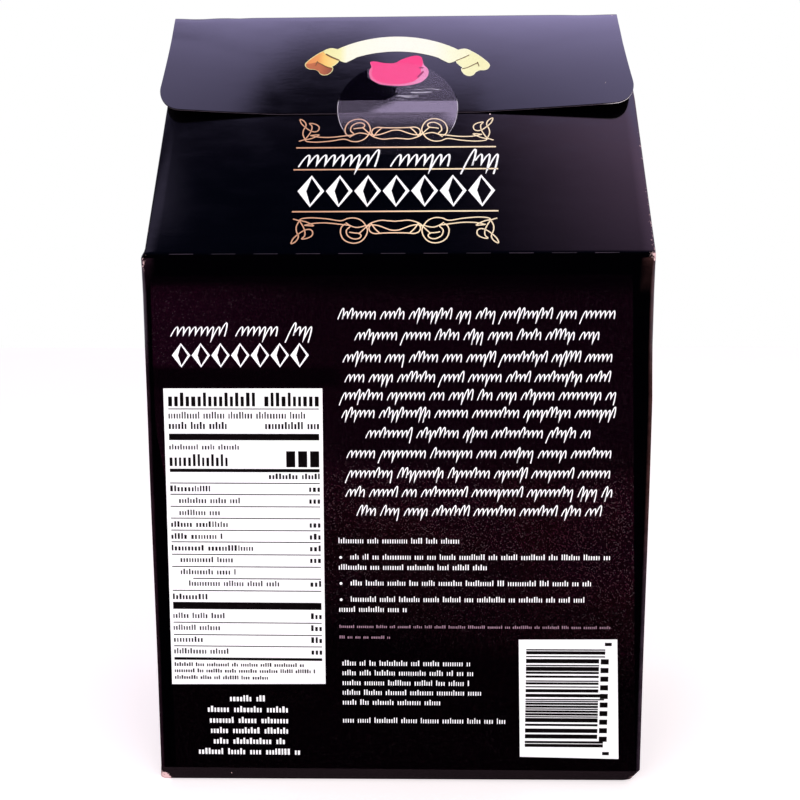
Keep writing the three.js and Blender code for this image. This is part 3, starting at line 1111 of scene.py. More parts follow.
# the scrollwork and title block are drawn once, and stand on both slopes and, smaller, on the side panels
scroll = {
    "stroke": 0.43,
    "rule": 0.56,
    "centre": -1.1,
    "fold": -78.0,  # the lower scroll is the upper one turned over about this line
    "rules": (-63.9, -73.8, -92.1),
    "ruleHalf": (35.8, 36.2, 35.6),
    "strokes": (
        ((-34.0, 60.2), (-33.0, 61.0), (-29.5, 61.3), (-24.3, 60.8), (-19.8, 60.0), (-17.2, 61.0),
         (-14.7, 61.1), (-12.5, 60.0), (-11.1, 58.1), (-10.4, 56.0), (-10.9, 53.6), (-12.4, 51.5),
         (-14.5, 50.7), (-16.8, 51.1), (-18.7, 52.6), (-19.6, 55.2), (-19.3, 57.4), (-18.2, 58.6)),
        ((-32.0, 58.2), (-28.8, 59.0), (-24.4, 59.1), (-19.1, 58.4), (-16.4, 57.8), (-17.6, 56.0),
         (-17.1, 53.8), (-15.2, 52.5), (-13.4, 52.6), (-12.5, 53.6), (-13.2, 54.7), (-14.8, 54.9),
         (-16.4, 55.2)),
        ((-13.3, 54.6), (-11.5, 56.6), (-10.2, 58.2), (-8.6, 59.3), (-5.9, 60.1), (-3.3, 59.9), (-1.1, 59.7)),
        ((-17.8, 59.1), (-16.4, 58.0), (-14.4, 57.2), (-12.3, 57.5), (-11.0, 58.1)),
        ((-9.0, 58.7), (-9.9, 57.1), (-9.4, 55.4), (-7.8, 54.6), (-5.2, 54.8), (-1.1, 54.9)),
        ((-9.1, 58.7), (-7.9, 56.7), (-6.4, 55.0)),
        ((-10.5, 57.6), (-9.0, 58.2), (-6.8, 57.9), (-4.2, 56.8), (-2.6, 56.1), (-1.1, 55.9)),
        ((-33.9, 60.1), (-34.8, 57.8), (-34.7, 55.7), (-33.9, 53.4), (-34.7, 51.5), (-36.2, 50.6),
         (-35.7, 52.5), (-34.1, 54.4), (-32.3, 55.9), (-30.6, 56.5), (-29.3, 55.8), (-29.2, 54.1),
         (-30.6, 52.9), (-32.7, 52.5), (-31.8, 53.8), (-31.8, 55.6), (-32.6, 57.8), (-33.9, 60.0)),
        ((-36.0, 60.8), (-34.0, 60.1)),
        ((-33.8, 60.2), (-31.4, 59.5), (-28.9, 58.0), (-30.6, 58.0), (-32.0, 58.2)),
    ),
}


def drawScrolls(mesh, place):
    for points in scroll["strokes"]:
        curve = curveThrough([(u, -down) for u, down in points])
        for flip in (False, True):
            for mirror in (False, True):
                path = [(2 * scroll["centre"] - u if mirror else u, 2 * scroll["fold"] - v if flip else v)
                        for u, v in curve]
                inkStroke(mesh, path, scroll["stroke"], place)
    for up, half in zip(scroll["rules"], scroll["ruleHalf"]):
        path = lineOf((scroll["centre"] - half, up), (scroll["centre"] + half, up), 12)
        inkStroke(mesh, path, scroll["rule"], place, roundEnds=False)


title = {
    "scriptRows": (-72.4, -67.3),  # where the waves of the upper line run
    "words": ((-36.3, -7.2), (-3.6, 18.6), (22.4, 35.9)),
    "wordInset": (0.8, 1.2),
    "waveStroke": 0.8,
    "wavePitch": 2.9,
    "slant": 0.35,
    "nib": 35,
    "capsTop": -76.4,
    "capsFoot": -90.2,
    "capsSpan": (-35.6, 34.0),
    "capsCount": 7,
    "capsHalf": 0.47,  # half an open lozenge's width, as a share of the pitch
    "bore": {-1: 0.35, 1: 0.72},  # each is thick on its left flank and fine on its right
    "boreTall": 0.84,
}


def wavePath(start, end, low, high, pitch, slant, draw=None):
    # a slanted running wave: now and then a crest reaches higher or a trough hangs lower
    count = max(1, round((end - start) / pitch))
    crests = [draw.choice((1.0, 1.0, 1.0, 1.0, 1.45)) if draw else 1.0 for _ in range(count)]
    troughs = [draw.choice((0.0,) * 7 + (-0.7,)) if draw else 0.0 for _ in range(count + 1)]
    path = []
    steps = 10
    for i in range(count * steps + 1):
        wave = min(i // steps, count - 1)
        t = i / steps - wave
        trough = troughs[wave] if t < 0.5 else troughs[wave + 1]
        swing = math.sin(math.pi * t) ** 0.7 if t > 0 else 0
        rise = mix(trough, crests[wave], swing) * (high - low)
        path.append((mix(start, end, i / (count * steps)) + slant * rise, low + rise))
    return path


def drawTitle(mesh, place):
    form = title
    low, high = form["scriptRows"]
    before, after = form["wordInset"]
    for number, (start, end) in enumerate(form["words"]):
        draw = random.Random(31 + number)
        path = wavePath(start + before, end - after, low, high, form["wavePitch"], form["slant"], draw)
        inkStroke(mesh, path, form["waveStroke"], place, nib=form["nib"])
    top, foot = form["capsTop"], form["capsFoot"]
    left, right = form["capsSpan"]
    pitch = (right - left) / form["capsCount"]
    middle = (top + foot) / 2
    for i in range(form["capsCount"]):
        centre = left + pitch * (i + 0.5)
        drawLozenge(mesh, place, centre, middle, pitch * form["capsHalf"], (top - foot) / 2)


def drawLozenge(mesh, place, u, v, half, tall):
    inside = tall * title["boreTall"]
    for side, bore in title["bore"].items():
        outer = [(u, v + tall), (u + side * half, v), (u, v - tall)]
        inner = [(u, v - inside), (u + side * half * bore, v), (u, v + inside)]
        inkShape(mesh, outer + inner, place)


def drawOnPanels(draw, places, name, material):
    mesh = newPrint()
    for place in places:
        draw(mesh, place)
    return finishPiece(mesh, name, [material])


sideBlock = {"across": 0.8, "up": 158, "size": 0.82}
sidePlaces = [moved(side, *sideBlock.values()) for side in (rightPlace, leftPlace)]
slopePlaces = [slopePlace, backSlopePlace]
drawOnPanels(drawScrolls, slopePlaces + sidePlaces, "goldScrolls", goldInk)
drawOnPanels(drawTitle, slopePlaces + sidePlaces, "slopeTitle", whiteInk)

# the ribbon's ends hang from one band, with the plaque below its middle, all on the flap
ribbon = {
    "axis": -1.1,  # both ends are drawn from this line outwards
    "pivot": -30.0,  # all of it is turned about this height on the axis, by so many degrees
    "turned": -1.0,
    "top": (-10.4, 43.0),  # where the band's upper edge stands on the axis, and its radius
    "foot": (-18.1, 40.0),
    "line": 0.3,
    "lift": {"band": 0.08, "line": 0.03, "fold": 0.13, "shade": 0.04},  # how high each lies over the tails
    "bandHalf": (21.5, 15.5),
    "bandEnd": ((22.9, -17.1), (25.0, -16.5), (26.8, -16.95), (28.2, -18.2), (27.0, -19.8), (24.8, -21.25),
                (22.2, -22.65), (21.0, -23.35), (19.45, -23.85), (17.9, -22.95), (16.5, -22.05)),
    "tail": ((26.0, -17.2), (28.9, -18.5), (31.7, -20.9), (33.7, -23.1), (34.7, -24.8), (34.2, -26.3),
             (32.9, -27.2), (31.0, -27.35), (29.5, -28.2), (28.7, -29.5), (27.3, -30.2), (25.8, -29.8),
             (24.6, -28.45), (24.15, -26.9), (24.6, -26.0), (23.6, -25.1), (22.2, -22.9), (23.5, -20.0)),
    # its width at the left end, and the points that each fold runs through
    "folds": ((0.6, (27.0, -19.8), (24.8, -21.25), (22.2, -22.65)),
              (0.3, (30.3, -23.7), (28.4, -24.9), (26.5, -26.1), (24.5, -26.8)),
              (0.3, (30.2, -23.4), (30.7, -25.4))),
    # the left end below its fold is in shade
    "turnedOver": ((34.6, -24.7), (34.2, -26.3), (32.9, -27.2), (31.0, -27.35), (29.5, -28.2),
                   (28.7, -29.5), (27.3, -30.2), (25.8, -29.8), (24.6, -28.45), (24.2, -26.9),
                   (26.5, -26.1), (28.4, -24.9), (30.3, -23.7), (32.6, -24.4)),
}
plaque = {
    "outline": ((-11.2, -23.4), (-9.3, -23.1), (-6.1, -23.9), (-3.0, -24.1), (-1.2, -23.6), (0.5, -22.3),
                (3.8, -20.8), (6.3, -20.3), (7.9, -20.9), (8.5, -22.2), (9.0, -24.9), (10.3, -26.6),
                (10.8, -28.4), (10.5, -30.5), (9.2, -32.5), (7.2, -34.0), (3.9, -35.0), (0.2, -35.4),
                (-3.8, -35.1), (-7.1, -34.5), (-9.5, -33.2), (-10.9, -31.6), (-11.5, -29.2), (-11.3, -27.2),
                (-10.7, -25.7)),
    "face": ((-11.0, -23.4), (-9.3, -23.1), (-6.1, -23.9), (-3.0, -24.1), (-1.2, -23.6), (0.5, -22.3),
             (3.8, -20.8), (6.3, -20.3), (7.9, -20.9), (8.5, -22.2), (8.6, -24.6), (8.0, -26.6),
             (7.9, -29.0), (7.2, -31.2), (5.6, -32.9), (3.5, -33.9), (0.2, -34.5), (-3.7, -34.3),
             (-6.8, -33.6), (-8.9, -32.4), (-10.1, -30.9), (-10.6, -29.0), (-10.4, -27.2), (-10.4, -25.7)),
    "ticks": (((7.6, -26.5), (8.6, -26.5)), ((6.9, -31.0), (8.7, -28.6))),
    "tickStroke": 0.7,
    "lift": {"face": 0.04, "ticks": 0.09},
}


def closedCurve(points, steps=4):
    count = len(points)
    ring = [points[i % count] for i in range(-1, count + 2)]
    path = curveThrough(ring, steps)
    return path[steps:steps * (count + 1)]


def makeRibbon():
    form = ribbon
    turn = math.radians(form["turned"])

    def leaning(points, side):
        result = []
        for u, v in points:
            u, v = u * side, v - form["pivot"]
            result.append((form["axis"] + u * math.cos(turn) - v * math.sin(turn),
                           form["pivot"] + u * math.sin(turn) + v * math.cos(turn)))
        return result

    def edge(name, half):
        up, radius = form[name]
        places = [mix(-half, half, i / 28) for i in range(29)]
        return [(u, up - radius + math.sqrt(radius ** 2 - u ** 2)) for u in places]

    band, tails, lines, shade = (newPrint() for _ in range(4))
    end = curveThrough(form["bandEnd"], 3)
    upper, lower = (edge(name, half) for name, half in zip(("top", "foot"), form["bandHalf"]))
    rightEnd, leftEnd = leaning(end, 1), leaning(end, -1)
    outline = leaning(upper, 1) + rightEnd + leaning(lower[::-1], 1) + leftEnd[::-1]
    lift = form["lift"]
    inkShape(band, outline, flapPlace, lift["band"])
    for side in (1, -1):
        tail = leaning(closedCurve(form["tail"], 3), side)
        inkShape(tails, tail, flapPlace)
        inkStroke(band, tail + tail[:1], form["line"], flapPlace, lift["line"])
        for leftWidth, *fold in form["folds"]:
            width = leftWidth if side < 0 else form["line"]
            inkStroke(lines, leaning(curveThrough(fold, 4), side), width, flapPlace, lift["fold"])
    inkShape(shade, leaning(form["turnedOver"], -1), flapPlace, lift["shade"])
    finishPiece(shade, "ribbonShade", [turnedInk])
    finishPiece(band, "ribbonBand", [ribbonInk])
    finishPiece(tails, "ribbonTails", [tailInk])
    finishPiece(lines, "ribbonLines", [shadeInk])


def makePlaque():
    form = plaque
    rim, face, ticks = (newPrint() for _ in range(3))
    inkShape(rim, closedCurve(form["outline"], 3), flapPlace)
    inkShape(face, closedCurve(form["face"], 3), flapPlace, form["lift"]["face"])
    for start, end in form["ticks"]:
        inkStroke(ticks, lineOf(start, end, 3), form["tickStroke"], flapPlace, form["lift"]["ticks"])
    finishPiece(rim, "plaqueRim", [palePinkInk])
    finishPiece(face, "plaqueFace", [pinkInk])
    finishPiece(ticks, "plaqueTicks", [tickInk])


makeRibbon()
makePlaque()

# on the front, script becomes slanted waves and plain lettering becomes small blocks
frontTitle = {"across": -53.35, "up": 204.97, "size": 0.682, "tall": 0.887}
story = {
    # height of the line's middle, and where it starts and ends; the same in the notes
    "lines": ((168.1, -20.3, 72.9), (161.0, -14.6, 67.7), (153.5, -18.7, 72.2), (146.7, -18.1, 71.7),
              (140.5, -19.6, 73.9), (134.4, -19.3, 73.7), (127.4, -11.1, 65.4), (120.4, -17.7, 72.7),
              (113.4, -17.8, 72.5), (106.8, -18.2, 73.4), (100.1, -14.4, 69.8)),
    "xHeight": 2.5,
    "stroke": 0.46,
    "nib": 35,
    "pitch": 1.55,
    "slant": 0.3,
    "wordGap": 2.0,
    "humps": (3, 11),
}
notes = {
    "lines": ((89.6, -20.9, 21.1), (83.8, -16.8, 73.6), (80.1, -20.9, 30.8), (74.4, -16.8, 67.2),
              (68.5, -16.8, 65.0), (64.8, -20.9, 2.8)),
    "bullets": (83.8, 74.4, 68.5),
    "bulletAt": -20.2,
    "bulletRadius": 0.5,
    "tiny": ((58.6, -20.9, 74.3), (54.7, -20.9, -3.1)),
    "contents": ((45.0, -20.0, 25.2), (41.4, -20.0, 26.3), (37.7, -20.0, 24.9), (34.1, -20.0, 29.2),
                 (30.4, -20.0, 14.7), (23.6, -20.0, 37.9)),
    "address": ((31.4, -60.5, -48.0), (27.3, -68.6, -39.8), (23.2, -68.0, -39.8), (19.3, -67.7, -39.9),
                (15.3, -66.8, -41.1), (11.3, -72.3, -35.7)),
}
lettering = {
    "plain": {"height": 1.4, "block": 0.36, "gap": 0.48, "wordGap": 1.0, "letters": (3, 12)},
    "small": {"height": 0.75, "block": 0.34, "gap": 0.34, "wordGap": 0.75, "letters": (3, 10)},
    "bold": {"height": 1.6, "block": 0.66, "gap": 0.46, "wordGap": 1.4, "letters": (4, 12)},
    # the food table gives the heights of these
    "heading": {"block": 1.15, "gap": 0.78, "wordGap": 2.4, "letters": (16, 17)},
    "large": {"block": 0.85, "gap": 0.75, "wordGap": 1.0, "letters": (20, 20)},
    "light": {"block": 0.46, "gap": 0.48, "wordGap": 1.0, "letters": (5, 12)},
    "strong": {"block": 0.62, "gap": 0.46, "wordGap": 1.1, "letters": (5, 12)},
    "footnote": {"block": 0.48, "gap": 0.34, "wordGap": 0.75, "letters": (3, 10)},
}


def stretchedTo(end, spans):  # spread a line's pieces so that the last one stops at its end
    start = spans[0][0]
    grow = (end - start) / (sum(spans[-1]) - start)
    return [(start + (u - start) * grow, length * grow) for u, length in spans]


def blockLine(mesh, place, start, end, middle, style, draw):
    # a line of plain print: each letter is a small block, and now and then one stands taller
    blocks = []
    u = start
    while u < end:
        for _ in range(draw.randint(*style["letters"])):
            wide = style["block"] * draw.uniform(0.8, 1.2)
            if u + wide > end:
                u = end
                break
            blocks.append((u, wide))
            u += wide + style["gap"]
        u += style["wordGap"]
    low = middle - style["height"] / 2
    for u, wide in stretchedTo(end, blocks):
        tall = style["height"] * draw.choice((1, 1, 1, 1.4))
        inkShape(mesh, bar(u, u + wide, low, low + tall), place)


def waveLine(mesh, place, start, end, middle, style, draw):
    words = []
    u = start
    while u < end - style["pitch"]:
        words.append((u, min(draw.randint(*style["humps"]) * style["pitch"], end - u)))
        u += words[-1][1] + style["wordGap"]
    low = middle - style["xHeight"] / 2
    for u, length in stretchedTo(end, words):
        path = wavePath(u, u + length, low, low + style["xHeight"], style["pitch"], style["slant"], draw)
        inkStroke(mesh, path, style["stroke"], place, nib=style["nib"])


def makeFrontPrint():
    draw = random.Random(7)
    mesh = newPrint()
    drawTitle(mesh, moved(frontPlace, *frontTitle.values()))
    for middle, start, end in story["lines"]:
        waveLine(mesh, frontPlace, start, end, middle, story, draw)
    dim = newPrint()
    for rows, style, layer in (("lines", "plain", mesh), ("tiny", "small", dim), ("contents", "plain", mesh),
                               ("address", "bold", mesh)):
        for middle, start, end in notes[rows]:
            blockLine(layer, frontPlace, start, end, middle, lettering[style], draw)
    for middle in notes["bullets"]:
        inkShape(mesh, arcOf((notes["bulletAt"], middle), notes["bulletRadius"], 0, 324, 9), frontPlace)
    finishPiece(mesh, "frontPrint", [whiteInk])
    finishPiece(dim, "smallPrint", [dimInk])


makeFrontPrint()

# the food table and the bar code are white labels with dark print; their figures and words are blank blocks
foodTable = {
    "corners": ((-80.8, 143.2), (-25.9, 143.2), (-26.1, 37.4), (-81.2, 36.8)),
    "left": -79.3,
    "right": -27.2,
    "spread": (130, 0.00017),  # the print widens a little below this height
    # style, from, to, middle, height; left and right stand for the table's own
    "headLines": (("heading", "left", "right", 138.7, 3.4), ("light", "left", -32.0, 133.6, 1.7),
                  ("strong", "left", -59.2, 130.0, 1.8), ("strong", -45.8, "right", 130.0, 1.8),
                  ("light", "left", -55.1, 122.6, 1.3), ("large", "left", -59.1, 117.6, 3.0)),
    "columnHead": ("strong", -44.8, "right", 112.3, 1.4),
    "figures": (-38.7, 4.15, 3.1, 115.8, 121.4, 3),  # from, pitch, width, foot, top, how many
    "rowFigure": 3.7,
    "bars": ((125.3, 127.4), (114.1, 115.1), (64.8, 67.2), (46.0, 46.8)),
    "rules": (136.1, 110.1, 106.1, 101.8, 97.6, 93.3, 89.1, 84.6, 80.2, 71.5, 59.8, 55.3, 51.1),
    "ruleHalf": 0.16,
    "barGrow": 0.08,
    "shortRule": (75.9, -72.0),
    # height, indent, length, how much of it is strong, whether a figure stands at the right
    "rows": ((107.9, 0, 13.9, 0.5, 1), (103.7, 3, 21.2, 0, 1), (99.4, 3, 14.1, 0, 0), (95.2, 0, 19.8, 0.7, 1),
             (90.9, 0, 17.8, 0.5, 1), (86.7, 0, 28.5, 0.8, 1), (82.5, 3, 18.3, 0, 1), (78.1, 3, 19.2, 0, 0),
             (73.9, 5.8, 31.6, 0, 1), (69.0, 0, 12.1, 0.7, 0), (62.1, 0, 18.0, 0, 1), (57.7, 0, 16.3, 0, 1),
             (53.3, 0, 10.1, 0, 1), (49.0, 0, 19.1, 0, 1)),
    "rowHeights": {"strong": 1.45, "light": 1.4, "figure": 1.5},
    "weightGap": 0.6,
    "footnotes": ((44.1, 45.6), (41.8, 49.5), (39.3, 32.9)),
    "footnoteHeight": 1.0,
}
barCode = {
    "corners": ((42.3, 54.2), (76.9, 54.4), (78.5, 10.0), (43.3, 10.5)),
    "left": 45.0,
    "right": 70.7,
    "guard": 72.8,
    "top": 50.3,
    "foot": 14.3,
    "guardTall": 3,
    "module": 0.36,
    "spread": 0.1,
    "figures": (17.4, 46.2, 10, 71.3, 74.1, 0.95),  # first, last, how many, left, right, half height
    "endFigures": ((12.0, 52.6), 72.6, 75.0, 0.6),
}


def makeTable():
    form = foodTable
    draw = random.Random(19)
    white = newPrint()
    inkPanel(white, form["corners"], frontPlace)
    dark = newPrint()
    left, right = form["left"], form["right"]
    level, rate = form["spread"]

    def onLabel(u, v, out):
        return frontPlace(right + (u - right) * (1 + rate * (level - v)), v, out + ink["onLabel"])

    def tableLine(style, start, end, middle, height):
        start, end = (form.get(edge, edge) for edge in (start, end))
        blockLine(dark, onLabel, start, end, middle, {**lettering[style], "height": height}, draw)

    for line in form["headLines"]:
        tableLine(*line)
    start, pitch, wide, foot, top, count = form["figures"]
    for i in range(count):
        inkShape(dark, bar(start + i * pitch, start + i * pitch + wide, foot, top), onLabel)
    tableLine(*form["columnHead"])
    grow = form["barGrow"]
    for low, high in form["bars"]:
        inkPanel(dark, bar(left, right, low - grow, high + grow), onLabel, steps=6)
    half = form["ruleHalf"]
    for height in form["rules"]:
        inkPanel(dark, bar(left, right, height - half, height + half), onLabel, steps=6)
    height, start = form["shortRule"]
    inkPanel(dark, bar(start, right, height - half, height + half), onLabel, steps=6)
    tall = form["rowHeights"]
    for middle, indent, length, weight, figure in form["rows"]:
        begin = left + indent
        split = begin + length * weight
        if weight:
            tableLine("strong", begin, split, middle, tall["strong"])
        tableLine("light", split + form["weightGap"] * bool(weight), begin + length, middle, tall["light"])
        if figure:
            tableLine("strong", right - form["rowFigure"], right, middle, tall["figure"])
    for middle, length in form["footnotes"]:
        tableLine("footnote", left, left + length, middle, form["footnoteHeight"])
    finishPiece(white, "tableLabel", [whiteInk])
    finishPiece(dark, "tablePrint", [darkInk])


def makeBarCode():
    form = barCode
    draw = random.Random(53)
    white = newPrint()
    inkPanel(white, form["corners"], frontPlace)
    dark = newPrint()

    def onLabel(u, v, out):
        return frontPlace(u, v, out + ink["onLabel"])

    middle = (form["foot"] + form["top"]) / 2
    v = form["foot"]
    while v < form["top"]:
        wide = draw.choice((1, 1, 2, 2, 3, 4)) * form["module"] + form["spread"]
        fromEnd = min(v - form["foot"], form["top"] - v)
        guard = fromEnd < form["guardTall"] or abs(v - middle) < 1
        right = form["guard"] if guard else form["right"]
        inkPanel(dark, bar(form["left"], right, v, v + wide), onLabel, steps=3)
        v += wide + draw.choice((1, 1, 2, 2, 3)) * form["module"] - form["spread"]
    low, high, count, left, right, half = form["figures"]
    for i in range(count):
        v = mix(low, high, i / (count - 1))
        inkShape(dark, bar(left, right, v - half, v + half), onLabel)
    places, left, right, half = form["endFigures"]
    for v in places:
        inkShape(dark, bar(left, right, v - half, v + half), onLabel)
    finishPiece(white, "barLabel", [whiteInk])
    finishPiece(dark, "barPrint", [darkInk])


makeTable()
makeBarCode()

# short cuts along the creases at both eaves
creaseCuts = {"first": -77.3, "pitch": 14.35, "count": 11, "length": 8.0, "width": 0.22, "height": 0.6}


def makeCreaseCuts():
    form = creaseCuts
    mesh = newPrint()
    height = eave + form["height"]
    for place in (frontPlace, backPlace):
        for i in range(form["count"]):
            u = form["first"] + form["pitch"] * i
            cut = lineOf((u, height), (u + form["length"], height), 4)
            inkStroke(mesh, cut, form["width"], place, lift=-0.01)
    finishPiece(mesh, "creaseCuts", [creaseBoard])


# where the board has chipped: on which panel, across, up, size
flecks = ((slopePlace, 33.1, -48.7, 0.8), (frontPlace, -60.8, 3.1, 0.35), (flapPlace, 75.6, -36.5, 0.3))


def makeFlecks():
    mesh = newPrint()
    draw = random.Random(3)
    for place, u, v, size in flecks:
        outline = [(u + a * draw.uniform(0.5, 1.1), v + b * draw.uniform(0.5, 1.1))
                   for a, b in arcOf((0, 0), size / 2, 0, 315, 7)]
        inkShape(mesh, outline, place)
    finishPiece(mesh, "chippedSpots", [chippedBoard])


makeCreaseCuts()
makeFlecks()
print("print ready")

floorLook = {
    "half": 3.0,  # its places are in metres
    "pale": (0.90, 0.86, 0.87, 1),
    "shade": (0.87, 0.82, 0.84, 1),
    "glow": (1.0, 0.93, 0.94, 1),
    "glowLeft": (1.0, 0.90, 0.98, 1),
    "toLeft": (-0.06, -0.12),
    "glowStrength": 0.5,
    "inGloss": (0.003, 0.002, 0.003, 1),  # what the glossy board mirrors of it
}


def makeFloor():
    look = floorLook
    mesh = bmesh.new()
    half = look["half"]
    mesh.faces.new([mesh.verts.new((x * half, y * half, 0)) for x, y in ((-1, -1), (1, -1), (1, 1), (-1, 1))])
    data = bpy.data.meshes.new("floor")
    mesh.to_mesh(data)
    mesh.free()
    floor = bpy.data.objects.new("floor", data)
    bpy.context.scene.collection.objects.link(floor)
    material, tree, shader, position = newMaterial("paleFloor")
    cloud = noiseAt(tree, position, 4.0, detail=3.0)
    plug(tree, shader.inputs["Base Color"], blendColours(tree, cloud, look["pale"], look["shade"]))
    shader.inputs["Roughness"].default_value = 0.7
    shader.inputs["Specular IOR Level"].default_value = 0.1
    toLeft = stepBetween(tree, splitAxes(tree, position)[0], *look["toLeft"])
    glow = blendColours(tree, toLeft, look["glow"], look["glowLeft"])
    plug(tree, shader.inputs["Emission Color"], glow)
    shader.inputs["Emission Strength"].default_value = look["glowStrength"]
    dim = addNode(tree, "BsdfDiffuse", {"Color": look["inGloss"]})
    seen = addNode(tree, "LightPath").outputs["Is Glossy Ray"]
    both = addNode(tree, "MixShader", {0: seen, 1: shader.outputs[0], 2: dim.outputs[0]})
    tree.links.new(both.outputs[0], tree.nodes["Material Output"].inputs["Surface"])
    data.materials.append(material)


# what the glossy board mirrors, by direction: x is to the right, y away from the viewer, z up
studio = {
    "backdrop": (1.0, 1.0, 1.0, 1),
    "dome": (1.0, 0.99, 1.0, 1),
    "domeStrength": 0.62,
    "low": (0.0013, 0.001, 0.0027, 1),
    "high": (0.008, 0.016, 0.05, 1),
    "lowToHigh": (0.6, 0.85),
    "horizon": (0.05, 0.4),  # the glows start above it
    "overhead": (1.74, 1.56, 2.62),  # a soft panel over the carton
    "overheadFront": (-0.276, 0.036),  # where it ends towards the viewer, and how much higher in the notch
    "overheadSoft": (0.03, 0.025),
    "overheadNotch": ((-0.20, -0.115), (-0.015, -0.06)),
    "overheadLeft": (-0.20, -0.25),
    "overheadBack": (0.55, 0.4),
    "overheadHalf": (0.38, 0.12),
    "overheadLevel": ((-0.26, -0.18, 0.70, 0.82), (-0.03, 0.12, 1.0, 1.25)),
    "rightGlow": (1.85, 1.2, 1.85, 1),
    "rightAcross": (0.02, 0.34),
    "rightAway": (-0.52, -0.27, 0.0, 0.94),
    "nearAcross": (0.0, 0.1, 0.02, 0.17),
    "nearAway": (-0.335, -0.292),
    "leftGlow": (0.54, 0.48, 0.76, 1),
    "leftAcross": (-0.25, -0.305),
    "leftAway": (-0.355, -0.315, 0.04),
    "around": (0.62, 0.60, 0.70, 1),
    "aroundAway": (0.0, 0.6),
    "aroundAcross": (0.55, 0.9),
}


def overheadShare(tree, x, y):
    look = studio
    rise, fall = look["overheadNotch"]
    notch = calc(tree, "MULTIPLY", stepBetween(tree, x, *rise), stepBetween(tree, x, *fall))
    notch = calc(tree, "MAXIMUM", notch, stepBetween(tree, x, *look["overheadLeft"]))
    front, soft = (calc(tree, "ADD", calc(tree, "MULTIPLY", notch, more), start)
                   for start, more in (look["overheadFront"], look["overheadSoft"]))
    reach = calc(tree, "DIVIDE", calc(tree, "SUBTRACT", y, front), soft)
    share = calc(tree, "MULTIPLY", stepBetween(tree, reach, 0.0, 1.0),
                 stepBetween(tree, y, *look["overheadBack"]))
    half, fade = look["overheadHalf"]
    return calc(tree, "MULTIPLY", share, windowAlong(tree, x, -half, half, fade))


def glowShares(tree, x, y):
    look = studio
    right = calc(tree, "MULTIPLY", stepBetween(tree, x, *look["rightAcross"]),
                 stepBetween(tree, y, *look["rightAway"]))
    near = calc(tree, "MULTIPLY", stepBetween(tree, y, *look["nearAway"]),
                stepBetween(tree, x, *look["nearAcross"]))
    left = calc(tree, "MULTIPLY", stepBetween(tree, x, *look["leftAcross"]),
                windowAlong(tree, y, *look["leftAway"]))
    return calc(tree, "ADD", right, near, clamp=True), left


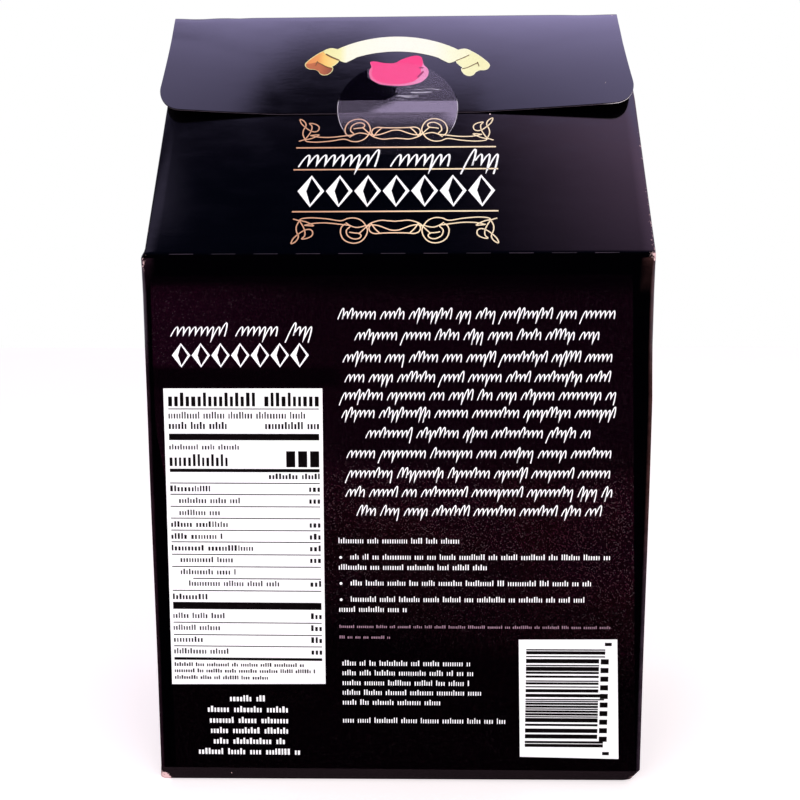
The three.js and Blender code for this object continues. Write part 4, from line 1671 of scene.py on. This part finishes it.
def makeWorld():
    look = studio
    world = bpy.data.worlds.new("softStudio")
    bpy.context.scene.world = world
    world.use_nodes = True
    tree = world.node_tree
    x, y, z = splitAxes(tree, addNode(tree, "TexCoord").outputs["Generated"])
    above = stepBetween(tree, z, *look["horizon"])
    level = calc(tree, "MULTIPLY", *(stepBetween(tree, x, *span) for span in look["overheadLevel"]))
    lamp = addNode(tree, "VectorMath", {0: look["overhead"], "Scale": level}, operation="SCALE").outputs[0]
    right, left = (calc(tree, "MULTIPLY", share, above) for share in glowShares(tree, x, y))
    overhead = calc(tree, "MULTIPLY", overheadShare(tree, x, y), above)
    around = calc(tree, "MAXIMUM", stepBetween(tree, y, *look["aroundAway"]),
                  stepBetween(tree, calc(tree, "ABSOLUTE", x), *look["aroundAcross"]))
    colour = blendColours(tree, stepBetween(tree, z, *look["lowToHigh"]), look["low"], look["high"])
    for share, glow in ((right, look["rightGlow"]), (left, look["leftGlow"]), (overhead, lamp),
                        (around, look["around"])):
        colour = blendColours(tree, share, colour, glow)
    mirrored = addNode(tree, "Background", {"Color": colour, "Strength": 1.0})
    dome = addNode(tree, "Background", {"Color": look["dome"], "Strength": look["domeStrength"]})
    white = addNode(tree, "Background", {"Color": look["backdrop"], "Strength": 1.0})
    path = addNode(tree, "LightPath").outputs
    lit = addNode(tree, "MixShader", {0: path["Is Glossy Ray"], 1: dome.outputs[0], 2: mirrored.outputs[0]})
    both = addNode(tree, "MixShader", {0: path["Is Camera Ray"], 1: lit.outputs[0], 2: white.outputs[0]})
    output = next(node for node in tree.nodes if node.type == "OUTPUT_WORLD")
    tree.links.new(both.outputs[0], output.inputs["Surface"])


# two broad lights in front, one on each side; places in metres
softLights = {
    "across": {"keyLeft": -0.75, "keyRight": 0.75},
    "away": -1.15,
    "height": 0.62,
    "target": (0, -0.05, 0.12),
    "side": 0.7,
    "brightness": 4.2,  # how brightly its face glows
}


def makeLights():
    form = softLights
    for name, across in form["across"].items():
        light = bpy.data.lights.new(name, "AREA")
        light.size = form["side"]
        light.energy = form["brightness"] * form["side"] ** 2 * math.pi
        lamp = bpy.data.objects.new(name, light)
        lamp.location = (across, form["away"], form["height"])
        lamp.visible_glossy = False
        lamp.rotation_euler = (Vector(form["target"]) - lamp.location).to_track_quat("-Z", "Y").to_euler()
        bpy.context.scene.collection.objects.link(lamp)


view = {
    "place": (7.13, -345.75, 171.93),
    "turned": -1.278,  # degrees to the right, down and round
    "down": 6.459,
    "rolled": -0.15,
    "lens": 38.25,
    "sensor": 36,
}


def makeCamera():
    turned, down, rolled = (math.radians(view[key]) for key in ("turned", "down", "rolled"))
    forward = Vector((math.sin(turned) * math.cos(down), math.cos(turned) * math.cos(down), -math.sin(down)))
    level = Vector((math.cos(turned), -math.sin(turned), 0))
    upright = level.cross(forward)
    right = math.cos(rolled) * level + math.sin(rolled) * upright
    up = math.cos(rolled) * upright - math.sin(rolled) * level
    data = bpy.data.cameras.new("camera")
    data.lens = view["lens"]
    data.sensor_width = view["sensor"]
    data.clip_start = 0.01
    camera = bpy.data.objects.new("camera", data)
    turn = Matrix((right, up, -forward)).transposed().to_4x4()
    camera.matrix_world = Matrix.Translation(Vector(view["place"]) * mm) @ turn
    bpy.context.scene.collection.objects.link(camera)
    bpy.context.scene.camera = camera


makeFloor()
makeWorld()
makeLights()
makeCamera()
bpy.context.scene.view_settings.view_transform = "Standard"
print("studio ready")
